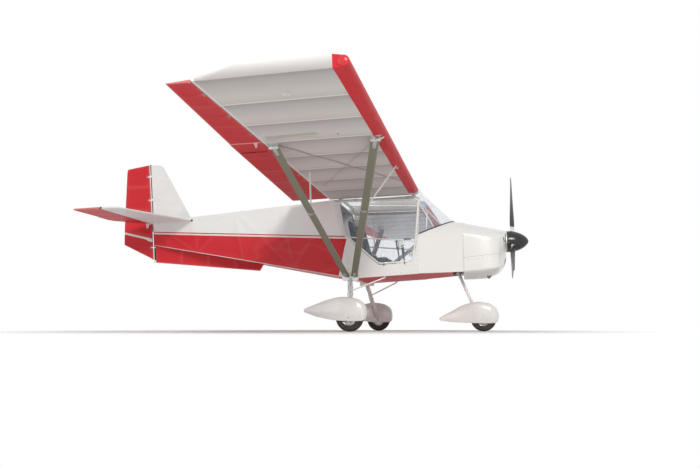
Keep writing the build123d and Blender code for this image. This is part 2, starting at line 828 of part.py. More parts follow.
with BuildPart() as wing:
    with BuildSketch(wing_plane(0)):
        with BuildLine():
            ThreePointArc((nose_run, -nose_depth), (0, 0), (nose_run, nose_rise))
            ThreePointArc((nose_run, nose_rise), (crest_run, crest_rise),
                          (main_chord, rear_half_depth))
            Line((main_chord, rear_half_depth), (main_chord, -rear_half_depth))
            Line((main_chord, -rear_half_depth), (nose_run, -nose_depth))
        make_face()
    extrude(amount=wing_length)
    for distance in flap_hinges + aileron_hinges:
        add_tongue(hinge_frame(distance), hinge_behind + rear_half_depth)
    for run in (front_strut_run, rear_strut_run):
        with BuildSketch(wing_plane(strut_span - bracket_width / 2)) as bracket:
            with Locations((run, underside(run) - bracket_drop / 2)):
                Rectangle(bracket_chord, bracket_drop + 2 * strut_head_drop / 3)
        extrude(bracket.sketch, amount=bracket_width)
    with BuildSketch(wing_plane(strut_span)) as tie_lug:
        with Locations((front_strut_run, underside(front_strut_run) - bracket_drop / 2)):
            Rectangle(tie_lug_wall, bracket_drop + strut_head_drop / 2)
    extrude(tie_lug.sketch, amount=tie_lug_reach)
    tie_distance = strut_span + (bracket_width / 2 + tie_lug_reach) / 2
    tie_rise = underside(front_strut_run) - bracket_drop / 2
    with BuildSketch(Plane(origin=wing_point(front_strut_run - tie_lug_wall, tie_rise, tie_distance),
                           x_dir=span_way, z_dir=chord_way)) as tie_bore:
        Circle(tie_hole)
    extrude(tie_bore.sketch, amount=2 * tie_lug_wall, mode=Mode.SUBTRACT)
save_pair(wing.part, "wing")


def control_surface(span, chords, hinges):
    """Tapering flap or aileron with a round nose on the hinge line."""
    with BuildPart() as panel:
        for distance, chord in zip(span, chords):
            with BuildSketch(wing_plane(distance)):
                with BuildLine():
                    ThreePointArc((hinge_run, surface_nose), (hinge_run - surface_nose, 0),
                                  (hinge_run, -surface_nose))
                    Line((hinge_run, -surface_nose), (main_chord + chord, -surface_edge))
                    Line((main_chord + chord, -surface_edge), (main_chord + chord, surface_edge))
                    Line((main_chord + chord, surface_edge), (hinge_run, surface_nose))
                make_face()
        loft(ruled=True)
        for distance in hinges:
            cut_slot(hinge_frame(distance))
    return panel.part


save_pair(control_surface(flap_span, (flap_root_chord, flap_tip_chord), flap_hinges), "flap")
save_pair(control_surface(aileron_span, (aileron_root_chord, aileron_tip_chord), aileron_hinges),
          "aileron")


# Gear fitting, where the struts and the main leg meet the lower longeron
fitting_low = (strut_foot[0] - fitting_size[0] / 2, cabin_half_width + seat_gap,
               strut_foot[2] - fitting_size[2] / 2)
fitting_high = (strut_foot[0] + fitting_size[0] / 2, cabin_half_width + seat_gap + fitting_size[1],
                strut_foot[2] + fitting_size[2] / 2)


def cut_fitting():
    """Removes the gear fitting's place, with its seat gap."""
    block([a - seat_gap for a in fitting_low], [b + seat_gap for b in fitting_high],
          mode=Mode.SUBTRACT)


with BuildPart() as gear_fitting:
    block(fitting_low, fitting_high)
    fillet(gear_fitting.edges().filter_by(Axis.Y), fitting_round)
save_both(gear_fitting.part, "gear_fittings")


# Wing struts
def strut_ends(side, run):
    """Foot and head of a strut; side is 1 for the front strut and -1 for the rear."""
    foot = Vector(strut_foot[0] + side * strut_foot_apart, strut_foot[1], strut_foot[2])
    return foot, wing_point(run, underside(run) - strut_head_drop, strut_span)


def strut_core(foot, head, grow=0.0):
    """Faired tube between two points, its blunt edge forward."""
    with BuildPart() as core:
        with BuildSketch(Plane(origin=foot, x_dir=(-1, 0, 0), z_dir=head - foot)) as section:
            nose_x = (strut_depth - strut_chord) / 2
            with BuildLine():
                ThreePointArc((nose_x, strut_depth / 2), (-strut_chord / 2, 0),
                              (nose_x, -strut_depth / 2))
                Line((nose_x, -strut_depth / 2), (strut_chord / 2, -strut_edge))
                Line((strut_chord / 2, -strut_edge), (strut_chord / 2, strut_edge))
                Line((strut_chord / 2, strut_edge), (nose_x, strut_depth / 2))
            make_face()
            if grow:
                offset(amount=grow)
        extrude(amount=(head - foot).length)
    return core.part


struts = {}
for name, side, run in (("front_struts", 1, front_strut_run), ("rear_struts", -1, rear_strut_run)):
    foot, head = strut_ends(side, run)
    with BuildPart() as strut:
        add(strut_core(foot, head))
        cut_fitting()
        with BuildSketch(wing_plane(strut_span - bracket_width / 2 - seat_gap)) as clear:
            with Locations((run, underside(run) - bracket_drop / 2)):
                Rectangle(2 * bracket_chord, 4 * bracket_drop)
        extrude(clear.sketch, amount=2 * bracket_width, mode=Mode.SUBTRACT)
    struts[name] = (foot, head)
    save_both(strut.part, name)

with BuildPart() as jury_strut:
    for name, run in (("front_struts", jury_front_run), ("rear_struts", jury_rear_run)):
        foot, head = struts[name]
        middle = foot + (head - foot) * jury_share
        top_distance = (middle.Y - wing_root_y) / cos(wing_rise)
        tube(middle, wing_point(run, underside(run) + jury_radius, top_distance), jury_radius)
        add(strut_core(foot, head, seat_gap), mode=Mode.SUBTRACT)
    with BuildSketch(wing_plane(0)) as under_wing:
        with BuildLine():
            low_gap = 2 * seat_gap
            Polyline((nose_run, -nose_depth - low_gap), (main_chord, -rear_half_depth - low_gap),
                     (main_chord, 2 * nose_depth), (nose_run, 2 * nose_depth), close=True)
        make_face()
    extrude(under_wing.sketch, amount=wing_length, mode=Mode.SUBTRACT)
save_both(jury_strut.part, "jury_struts")

# Tail
deck_front = (seam_low[0] + (seam_high[0] - seam_low[0]) * (1 + rear_crown / seam_height),
              seam_low[1] + (seam_high[1] - seam_low[1]) * (1 + rear_crown / seam_height))
deck_back = (tail_face_low[0] + (tail_height + tail_crown) * sin(hinge_rake),
             tail_face_low[1] + (tail_height + tail_crown) * cos(hinge_rake))
rudder_axis = Vector(sin(hinge_rake), 0, cos(hinge_rake))
rudder_aft = Vector(-cos(hinge_rake), 0, sin(hinge_rake))
rudder_hinge_zs = spread(rudder_hinge_low[1], rudder_hinge_high[1], 4)


def post_x(z):
    """Place of the tail post at a height."""
    return rudder_line_x(z) + post_ahead / cos(hinge_rake)


def rudder_frame(z):
    """Frame on the rudder's hinge line at a height."""
    return Plane(origin=(rudder_line_x(z), 0, z), x_dir=rudder_aft, z_dir=rudder_axis)


with BuildPart() as fin:
    with BuildSketch(side_plane(tail_plate / 2)):
        fin_foot = (fin_apex[0], slope(deck_front, deck_back, fin_apex[0]) - skin)
        with BuildLine():
            Polyline(fin_foot, fin_top, (post_x(rudder_hinge_high[1]), rudder_hinge_high[1]),
                     (post_x(deck_back[1]), deck_back[1] - skin),
                     (deck_back[0], deck_back[1] - skin), close=True)
        make_face()
    extrude(amount=tail_plate)
    tube((post_x(post_low_z), 0, post_low_z), (post_x(rudder_hinge_high[1]), 0, rudder_hinge_high[1]),
         tail_nose)
    for z in rudder_hinge_zs:
        add_tongue(rudder_frame(z), post_ahead)
    rear_core(0.0, -seat_gap, Mode.SUBTRACT)
save(fin.part, "fin")

with BuildPart() as rudder:
    with BuildSketch(side_plane(tail_plate / 2)):
        with BuildLine():
            Polyline(rudder_hinge_low, rudder_hinge_high, *rudder_outline, close=True)
        make_face()
    extrude(amount=tail_plate)
    tube((rudder_hinge_low[0], 0, rudder_hinge_low[1]), (rudder_hinge_high[0], 0,
         rudder_hinge_high[1]), tail_nose)
    for z in rudder_hinge_zs:
        cut_slot(rudder_frame(z))
save(rudder.part, "rudder")

tail_side_front = (seam_x(seam_high[1]), cabin_half_width)
tail_side_back = (deck_back[0], tail_half_width)
elevator_hinge_ys = spread(elevator_inner_y, elevator_tip[1], 3)


def elevator_frame(y):
    """Frame on the elevator's hinge line."""
    return Plane(origin=(elevator_hinge_x, y, stab_z), x_dir=(-1, 0, 0), z_dir=(0, 1, 0))


with BuildPart() as stabiliser:
    stab_back_x = elevator_hinge_x + tail_nose + swing_gap
    with BuildSketch(Plane.XY.offset(stab_z - tail_plate / 2)):
        root = [(x, slope(tail_side_front, tail_side_back, x) - skin)
                for x in (stab_apex_x, stab_back_x)]
        with BuildLine():
            Polyline(root[0], *stab_tip, (stab_back_x, stab_tip_y), root[1], close=True)
        make_face()
    extrude(amount=tail_plate)
    for y in elevator_hinge_ys:
        add_tongue(elevator_frame(y), tail_nose + swing_gap + tail_plate / 2)
    rear_core(0.0, -seat_gap, Mode.SUBTRACT)
save_both(stabiliser.part, "stabiliser")

with BuildPart() as elevator:
    with BuildSketch(Plane.XY.offset(stab_z - tail_plate / 2)):
        with BuildLine():
            Polyline((elevator_hinge_x, elevator_inner_y), *elevator_notch, elevator_tip,
                     (elevator_hinge_x, stab_tip_y), close=True)
        make_face()
    extrude(amount=tail_plate)
    tube((elevator_hinge_x, elevator_inner_y, stab_z), (elevator_hinge_x, stab_tip_y, stab_z),
         tail_nose)
    for y in elevator_hinge_ys:
        cut_slot(elevator_frame(y))
save_both(elevator.part, "elevator")

with BuildPart() as trim_tab:
    block((tail_end_x, -tab_span[1], stab_z - tab_plate / 2),
          (elevator_tip[0] - seat_gap, -tab_span[0], stab_z + tab_plate / 2))
save(trim_tab.part, "trim_tab")


# Wheels
def make_wheel(centre, radius, side_name):
    """Rim and tyre about a cross axis."""
    x, y, z = centre
    axle_line = Axis((x, y, z), (0, 1, 0))
    half = tyre_width / 2
    hub_half, flange, barrel = half - hub_end_gap, rim_radius - flange_depth, rim_radius - seat_gap
    with BuildPart() as rim:
        with BuildSketch(cross_plane(x)):
            with BuildLine():
                profile = [(-hub_half, axle_radius + pin_clearance), (-hub_half, hub_out_radius),
                           (-disc_half, hub_out_radius), (-disc_half, flange),
                           (-half + flange_wall, flange), (-half + flange_wall, barrel)]
                points = profile + [(-a, r) for a, r in reversed(profile)]
                Polyline(*[(y + a, z + r) for a, r in points], close=True)
            make_face()
        revolve(axis=axle_line)
    save(rim.part, side_name + "_rim")
    with BuildPart() as tyre:
        with BuildSketch(cross_plane(x)):
            with BuildLine():
                bead, shoulder = (half - bead_inset, rim_radius), (0.64 * half, radius - shoulder_drop)
                wall = (half, (rim_radius + radius) / 2)
                ThreePointArc((y - bead[0], z + bead[1]), (y - wall[0], z + wall[1]),
                              (y - shoulder[0], z + shoulder[1]))
                ThreePointArc((y - shoulder[0], z + shoulder[1]), (y, z + radius),
                              (y + shoulder[0], z + shoulder[1]))
                ThreePointArc((y + shoulder[0], z + shoulder[1]), (y + wall[0], z + wall[1]),
                              (y + bead[0], z + bead[1]))
                Line((y + bead[0], z + bead[1]), (y - bead[0], z + bead[1]))
            make_face()
        revolve(axis=axle_line)
    save(tyre.part, side_name + "_tyre")


for side_name, y in (("left", main_wheel_y), ("right", -main_wheel_y)):
    make_wheel((main_wheel_x, y, tyre_radius), tyre_radius, side_name)
make_wheel((nose_wheel_x, 0, nose_tyre_radius), nose_tyre_radius, "nose")


# Spats: round-nosed shells with a pointed tail
def spat_core(stations, x, y, inset=0.0):
    """Solid form of a spat about an axle place, inset from its outer face."""
    sections = []
    for i, (run, half, low, high) in enumerate(stations):
        end_shift = inset if i == 0 else -inset if i == len(stations) - 1 else 0
        wide, bottom = half - inset, low + inset
        rise = high - inset - bottom
        foot, bulge, shoulder = 0.84 * wide, bottom + 0.4 * rise, (0.9 * wide, bottom + 0.74 * rise)
        with BuildSketch(cross_plane(x + run + end_shift)) as section:
            with BuildLine():
                Line((y - foot, bottom), (y + foot, bottom))
                ThreePointArc((y + foot, bottom), (y + wide, bulge), (y + shoulder[0], shoulder[1]))
                ThreePointArc((y + shoulder[0], shoulder[1]), (y, bottom + rise),
                              (y - shoulder[0], shoulder[1]))
                ThreePointArc((y - shoulder[0], shoulder[1]), (y - wide, bulge), (y - foot, bottom))
            make_face()
        sections.append(section.sketch)
    return loft(sections, ruled=True, mode=Mode.PRIVATE)


def open_spat(stations, x, y):
    """Shell of a spat with its wheel opening."""
    low = min(station[2] for station in stations)
    with BuildPart() as shell:
        add(spat_core(stations, x, y))
        add(spat_core(stations, x, y, spat_wall), mode=Mode.SUBTRACT)
        block((x - wheel_opening, y - opening_half_width, low - spat_wall),
              (x + wheel_opening, y + opening_half_width, low + 6 * spat_wall), mode=Mode.SUBTRACT)
    return shell.part


# Main legs: a stepped tube to the axle, inside the spat's inner wall
leg_foot = (main_wheel_x, main_wheel_y - leg_foot_inset, tyre_radius)
leg_joint = along(leg_top, leg_foot, leg_upper_share)
with BuildPart() as main_axle:
    tube(leg_foot, (main_wheel_x, main_wheel_y + axle_reach, tyre_radius), axle_radius)
    add(spat_core(main_spat_stations, main_wheel_x, main_wheel_y, spat_wall + seat_gap),
        mode=Mode.INTERSECT)

with BuildPart() as main_leg:
    tube(leg_top, leg_joint, leg_upper_radius)
    tube(leg_joint, leg_foot, leg_lower_radius)
    for share in (*clamp_shares, leg_upper_share):
        tube(along(leg_top, leg_foot, share - clamp_half_share),
             along(leg_top, leg_foot, share + clamp_half_share), leg_upper_radius + clamp_wall)
    cut_fitting()
    axle_block = (2 * leg_lower_radius, axle_block_width, 2.4 * leg_lower_radius)
    block([c - s / 2 for c, s in zip(leg_foot, axle_block)],
          [c + s / 2 for c, s in zip(leg_foot, axle_block)])
    add(main_axle.part)
save_both(main_leg.part, "main_legs")

with BuildPart() as drag_brace:
    low_point = along(leg_top, leg_foot, brace_share)
    brace_end = (brace_top[0], brace_top[1], belly_z(brace_top[0]) - 2 * brace_radius)
    tube(low_point, brace_end, brace_radius)
    tube(leg_top, leg_joint, leg_upper_radius + clamp_wall + seat_gap, mode=Mode.SUBTRACT)
    tube(brace_end, (brace_end[0], brace_end[1], belly_z(brace_end[0]) + 2), brace_radius)
    trim((seam_low[0], belly_z(seam_low[0]) - seat_gap), (front_seam_x, front_seam_low_z - seat_gap), 0,
         4 * brace_radius)
save_both(drag_brace.part, "drag_braces")

with BuildPart() as main_spat:
    add(open_spat(main_spat_stations, main_wheel_x, main_wheel_y))
    inner_y = main_wheel_y - main_spat_stations[3][1]
    block((leg_foot[0] - 2 * leg_lower_radius, inner_y - spat_wall, 0),
          (leg_foot[0] + leg_lower_radius + spat_wall, leg_foot[1] + spat_wall,
           tyre_radius + 2.5 * leg_upper_radius), mode=Mode.SUBTRACT)
save_both(main_spat.part, "main_spats")

# Nose gear: the leg turns about its own line in a mount on the firewall
leg_way = Vector(nose_leg_high[0] - nose_leg_low[0], 0, nose_leg_high[1] - nose_leg_low[1]).normalized()
leg_high = Vector(nose_leg_high[0], 0, nose_leg_high[1])
fork_top = Vector(nose_leg_low[0], 0, nose_leg_low[1]) - leg_way * fork_drop
with BuildPart() as nose_leg:
    tube(fork_top, leg_high, nose_leg_radius)
    collar_top = leg_high - leg_way * (mount_length + mount_drop + swing_gap)
    tube(collar_top - leg_way * collar_height, collar_top, nose_leg_radius + collar_wall)
    with BuildSketch(Plane(origin=fork_top, x_dir=(0, 1, 0), z_dir=leg_way)) as crown_plate:
        Rectangle(2 * (fork_half + fork_wall), fork_width)
    extrude(crown_plate.sketch, amount=2 * fork_wall)
    axle_point = Vector(nose_wheel_x, 0, nose_tyre_radius)
    fork_run = axle_point - fork_top
    for side in (-1, 1):
        with BuildSketch(side_plane(side * (fork_half + fork_wall / 2) + fork_wall / 2)) as blade:
            with Locations(((fork_top.X + axle_point.X) / 2, (fork_top.Z + axle_point.Z) / 2)):
                SlotCenterToCenter(fork_run.length, fork_width,
                                   rotation=degrees(atan2(fork_run.Z, fork_run.X)))
        extrude(blade.sketch, amount=fork_wall)
    tube((nose_wheel_x, -fork_half - fork_wall, nose_tyre_radius),
         (nose_wheel_x, fork_half + fork_wall, nose_tyre_radius), axle_radius)
save(nose_leg.part, "nose_leg")

with BuildPart() as nose_spat:
    add(open_spat(nose_spat_stations, nose_wheel_x, 0))
    tube(fork_top, leg_high, nose_leg_radius + seat_gap, mode=Mode.SUBTRACT)
save(nose_spat.part, "nose_spat")

with BuildPart() as nose_mount:
    mount_low = leg_high - leg_way * (mount_length + mount_drop)
    tube(mount_low, leg_high - leg_way * mount_drop, 1.7 * nose_leg_radius)
    arm_z = slope((mount_low.Z, mount_low.X), (leg_high.Z, leg_high.X), mount_low.Z + mount_length / 2)
    block((arm_z, -2.4 * nose_leg_radius, mount_low.Z + mount_arm_low),
          (firewall_x - firewall_plate - seat_gap, 2.4 * nose_leg_radius, mount_low.Z + mount_arm_high))
    tube(mount_low - leg_way, leg_high, nose_leg_radius + pin_clearance, mode=Mode.SUBTRACT)
save(nose_mount.part, "nose_mount")


# Cowling with a flat nose ring round the propeller shaft
def cowl_section(station, inset, shift=0.0):
    """One section of the cowling from its table row."""
    x, half_low, z_low, keel, half_high, z_high, z_top = station
    return hull_section(cross_plane(x + shift), half_low, z_low, keel, half_high, z_high, z_top, inset)


with BuildPart() as cowl:
    loft([cowl_section(station, 0.0) for station in cowl_stations], ruled=True)
    last = len(cowl_stations) - 1
    loft([cowl_section(station, cowl_wall, -cowl_wall if i == last else 0.0)
          for i, station in enumerate(cowl_stations)], ruled=True, mode=Mode.SUBTRACT)
    tube((cowl_stations[-1][0] - 2 * cowl_wall, 0, prop_axis_z),
         (spinner_base_x, 0, prop_axis_z), shaft_hole, mode=Mode.SUBTRACT)
save(cowl.part, "cowl")

with BuildPart() as engine_block:
    engine_front_x = engine_rear_x + engine_size[0]
    block((engine_rear_x, -engine_size[1] / 2, engine_low_z),
          (engine_front_x, engine_size[1] / 2, engine_low_z + engine_size[2]))
    for side in (-1, 1):
        foot_y = side * engine_size[1] / 4
        tube((firewall_x + seat_gap, foot_y, engine_low_z + engine_size[2] / 2),
             (engine_rear_x, foot_y, engine_low_z + engine_size[2] / 2), shaft_radius)
    tube((engine_front_x, 0, prop_axis_z), (spinner_base_x + back_plate, 0, prop_axis_z), shaft_radius)
save(engine_block.part, "engine_block")

# Propeller and spinner
blade_way = cross_plane(blade_x)
with BuildPart() as propeller:
    tube((spinner_base_x + back_plate + seat_gap, 0, prop_axis_z), (hub_front_x, 0, prop_axis_z),
         hub_radius)
    with BuildPart(mode=Mode.PRIVATE) as blade:
        tube((blade_x, 0, prop_axis_z), (blade_x, 0, prop_axis_z + blade_stations[0][0]),
             blade_root_radius)
        sections = []
        for distance, chord, thick, pitch in blade_stations:
            turn = radians(pitch)
            plane = Plane(origin=(blade_x, 0, prop_axis_z + distance),
                          x_dir=(sin(turn), cos(turn), 0), z_dir=(0, 0, 1))
            with BuildSketch(plane) as section:
                with BuildLine():
                    ThreePointArc((-chord / 2, 0), (0, thick / 2), (chord / 2, 0))
                    ThreePointArc((chord / 2, 0), (0, -thick / 2), (-chord / 2, 0))
                make_face()
            sections.append(section.sketch)
        loft(sections, ruled=True)
    prop_axis = Axis((0, 0, prop_axis_z), (1, 0, 0))
    for i in range(blade_count):
        add(blade.part.rotate(prop_axis, 360 * i / blade_count))
save(propeller.part, "propeller")


def dome(base_x, radius, tip_x):
    """Round-nosed body of revolution on the propeller's axis."""
    with BuildPart() as body:
        with BuildSketch(side_plane(0)):
            with BuildLine():
                ThreePointArc((base_x, prop_axis_z - radius),
                              ((base_x + tip_x) / 2, prop_axis_z - 0.68 * radius), (tip_x, prop_axis_z))
                Polyline((tip_x, prop_axis_z), (base_x, prop_axis_z), (base_x, prop_axis_z - radius))
            make_face()
        revolve(axis=prop_axis)
    return body.part


with BuildPart() as spinner:
    add(dome(spinner_base_x, spinner_radius, spinner_tip_x))
    add(dome(spinner_base_x + back_plate, spinner_radius - spinner_wall, spinner_tip_x
             - 2 * spinner_wall), mode=Mode.SUBTRACT)
    tube((spinner_base_x - back_plate, 0, prop_axis_z), (spinner_base_x + 2 * back_plate, 0,
         prop_axis_z), shaft_hole, mode=Mode.SUBTRACT)
    for i in range(blade_count):
        angle = radians(90 + 360 * i / blade_count)
        tube((blade_x, 0, prop_axis_z), (blade_x, 2 * spinner_radius * cos(angle),
             prop_axis_z + 2 * spinner_radius * sin(angle)), blade_root_radius + seat_gap,
             mode=Mode.SUBTRACT)
save(spinner.part, "spinner")

# Cabin furniture
with BuildPart() as seat:
    with BuildSketch(side_plane(seat_y + seat_width / 2)):
        with BuildLine():
            Polyline(*seat_outline, close=True)
        make_face()
    extrude(amount=seat_width)
save_both(seat.part, "seats")

with BuildPart() as seat_rail:
    for rail_y in (seat_y - seat_width / 3, seat_y + seat_width / 3):
        for x in seat_leg_xs:
            seat_z = slope(seat_outline[5], seat_outline[0], x - stick_radius)
            tube((x, rail_y, belly_z(x)), (x, rail_y, seat_z - seat_gap), stick_radius)
    trim_to_floor()
save_both(seat_rail.part, "seat_legs")

with BuildPart() as stick:
    foot_z = belly_z(stick_foot_x) + floor_plate - 2
    stick_top = (stick_foot_x - stick_lean, stick_y, foot_z + stick_height)
    tube((stick_foot_x, stick_y, foot_z), stick_top, stick_radius)
    tube(stick_top, (stick_top[0] - grip_lean, stick_y, stick_top[2] + grip_length), 2 * stick_radius)
    for pedal_y in pedal_ys:
        pedal_z = belly_z(pedal_x) + floor_plate - 2
        pad_z = pedal_z + pedal_height - pedal_pad_height / 2
        tube((pedal_x, pedal_y, pedal_z), (pedal_x + pedal_pad_wall, pedal_y, pedal_z + pedal_height),
             stick_radius)
        block((pedal_x - pedal_pad_wall / 2, pedal_y - pedal_half_width, pad_z),
              (pedal_x + pedal_pad_wall / 2, pedal_y + pedal_half_width, pad_z + pedal_pad_height))
    trim_to_floor()
save_both(stick.part, "controls")

# Doors
with BuildPart() as door_frame:
    ring_path = door_outline(cabin_half_width).face().outer_wire()
    with BuildSketch(Plane(origin=ring_path @ 0, z_dir=ring_path % 0)) as ring_section:
        Circle(door_tube)
    sweep(ring_section.sketch, path=ring_path)
    tube((door_rail[0][0], cabin_half_width, door_rail[0][1]),
         (door_rail[1][0], cabin_half_width, door_rail[1][1]), 0.7 * door_tube)
    for hinge_x in door_hinge_xs:
        half = knuckle_length / 2
        tube((hinge_x - half, cabin_half_width, door_hinge_z),
             (hinge_x + half, cabin_half_width, door_hinge_z), knuckle_radius)
        block((hinge_x - half, cabin_half_width - door_hinge_leaf, door_top_z),
              (hinge_x + half, cabin_half_width + door_hinge_leaf, door_hinge_z))
        tube((hinge_x - half, cabin_half_width, door_hinge_z),
             (hinge_x + half, cabin_half_width, door_hinge_z), door_pin + pin_clearance,
             mode=Mode.SUBTRACT)
save_pair(door_frame.part, "door_frame")

with BuildPart() as door_pane:
    extrude(door_outline(cabin_half_width - door_tube - seat_gap), amount=door_pane_wall)
save_pair(door_pane.part, "door_pane")
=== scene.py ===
import bmesh
import bpy
import numpy as np
from bpy.props import FloatProperty, FloatVectorProperty, IntProperty, PointerProperty
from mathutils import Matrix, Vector


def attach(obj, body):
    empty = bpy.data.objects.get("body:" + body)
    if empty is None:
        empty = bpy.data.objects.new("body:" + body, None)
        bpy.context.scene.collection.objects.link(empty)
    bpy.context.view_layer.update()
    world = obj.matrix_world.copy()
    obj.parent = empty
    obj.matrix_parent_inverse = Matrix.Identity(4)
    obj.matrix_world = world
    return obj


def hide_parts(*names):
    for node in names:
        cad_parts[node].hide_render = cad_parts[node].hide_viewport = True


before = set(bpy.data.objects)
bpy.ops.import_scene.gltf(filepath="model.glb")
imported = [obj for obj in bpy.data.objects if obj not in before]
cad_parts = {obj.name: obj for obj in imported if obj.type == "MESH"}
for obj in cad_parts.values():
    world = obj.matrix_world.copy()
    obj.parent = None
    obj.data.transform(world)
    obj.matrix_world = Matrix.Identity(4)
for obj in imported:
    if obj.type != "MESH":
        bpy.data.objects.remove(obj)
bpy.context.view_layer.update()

bl_info = {
    "name": "Ultralight aircraft",
    "version": (1, 0, 0),
    "blender": (4, 5, 0),
    "location": "View3D > Sidebar > Aircraft",
    "description": "Fabric, paint, glass and fittings of a strut-braced ultralight aircraft",
    "category": "Object",
}

# Places shared by several pieces, in metres: X forward, Y to the left, Z up
WING_NOSE = np.array([1.47, 0.5, 1.735])
WING_INCIDENCE, WING_DIHEDRAL = np.radians(2.75), np.radians(1.4)
MAIN_CHORD, WING_SPAN = 1.143, 4.25 / np.cos(WING_DIHEDRAL)
HINGE_RUN = 1.164
CHORD_WAY = np.array([-np.cos(WING_INCIDENCE), 0.0, -np.sin(WING_INCIDENCE)])
SPAN_WAY = np.array([0.0, np.cos(WING_DIHEDRAL), np.sin(WING_DIHEDRAL)])
RISE_WAY = np.cross(SPAN_WAY, CHORD_WAY)
WING_WAYS = np.array([CHORD_WAY, SPAN_WAY, RISE_WAY])
STRUT_OUT, FRONT_STRUT_RUN, REAR_STRUT_RUN = 2.61, 0.106, 1.06
FLAP_SPAN, AILERON_SPAN = (0.07, 2.678), (2.69, WING_SPAN - 0.012)
CABIN_HALF = 0.555
SEAM_LOW, SEAM_HIGH = np.array([0.622, 0, 0.657]), np.array([0.392, 0, 1.655])
RUDDER_LOW, RUDDER_HIGH = np.array([-2.343, 0, 0.993]), np.array([-2.463, 0, 2.355])
RUDDER_RAKE = np.arctan2(RUDDER_HIGH[0] - RUDDER_LOW[0], RUDDER_HIGH[2] - RUDDER_LOW[2])
TAIL_LOW_Z, STAB_Z, ELEVATOR_HINGE_X = 1.19, 1.51, -2.385
PROP_AXIS_Z = 1.133
MAIN_WHEEL, NOSE_WHEEL = np.array([0.7, 1.03, 0.165]), np.array([2.215, 0.0, 0.16])
X_WAY, Y_WAY, Z_WAY = np.eye(3)
FILM_WIDTH, FOCAL_PIXELS, PHOTO_WIDTH = 36.0, 718.0, 700.0


class Paintwork(bpy.types.PropertyGroup):
    """Colours of the aircraft."""

    white: FloatVectorProperty(name="White", description="Fabric and shell colour", subtype="COLOR",
        default=(0.85, 0.845, 0.825), min=0, max=1)
    red: FloatVectorProperty(name="Red", description="Trim colour", subtype="COLOR",
        default=(0.64, 0.016, 0.026), min=0, max=1)
    strut: FloatVectorProperty(name="Struts", description="Colour of the wing struts", subtype="COLOR",
        default=(0.215, 0.213, 0.15), min=0, max=1)
    glazing: FloatVectorProperty(name="Glazing", description="Tint of the clear sheets", subtype="COLOR",
        default=(0.6, 0.72, 0.84), min=0, max=1)


class Covering(bpy.types.PropertyGroup):
    """Sizes of the fabric covering."""

    rib_pitch: FloatProperty(name="Rib pitch", description="Distance between wing ribs", unit="LENGTH",
        default=0.532, min=0.2, max=1.0)
    sag: FloatProperty(name="Sag", description="Depth of the fabric between two ribs", unit="LENGTH",
        default=0.009, min=0.0, max=0.012)
    nose_band: FloatProperty(name="Nose band", description="Width of the wing's red leading edge",
        unit="LENGTH", default=0.12, min=0.02, max=0.3)
    stations: IntProperty(name="Stations", description="Sections of fabric between two ribs", default=20,
        min=4, max=60)
    dish: FloatProperty(name="Tail dish", description="Depth of the fabric between the tail's tubes",
        unit="LENGTH", default=0.005, min=0.0, max=0.009)


# Node values


class Signal:
    """One socket of a material's nodes, used in sums as if it were a number."""

    def __init__(self, paint, socket):
        self.paint, self.socket = paint, socket

    def maths(self, operation, *others):
        """One maths node, this value its first operand."""
        return self.paint.node("Math", {"operation": operation}, self, *others)

    def __add__(self, other):
        return self.maths("ADD", other)

    def __sub__(self, other):
        return self.maths("SUBTRACT", other)

    def __rsub__(self, other):
        return self.paint.node("Math", {"operation": "SUBTRACT"}, other, self)

    def __mul__(self, other):
        return self.maths("MULTIPLY", other)

    def __truediv__(self, other):
        return self.maths("DIVIDE", other)

    def __pow__(self, other):
        return self.maths("POWER", other)

    def __neg__(self):
        return self.maths("MULTIPLY", -1.0)

    def __abs__(self):
        return self.maths("ABSOLUTE")

    __radd__, __rmul__ = __add__, __mul__

    def step(self, edge, width=0.001):
        """Smooth step from 0 to 1 at the edge."""
        return self.paint.node("MapRange", {"interpolation_type": "SMOOTHSTEP"},
            {0: self, 1: edge - width / 2, 2: edge + width / 2, 3: 0.0, 4: 1.0})

    def band(self, low, high, width=0.001):
        """1 between two values and 0 outside them."""
        return self.step(low, width) * (1 - self.step(high, width))

    def repeat(self, pitch):
        """Distance to the nearest whole multiple of the pitch."""
        return self.maths("PINGPONG", pitch / 2)


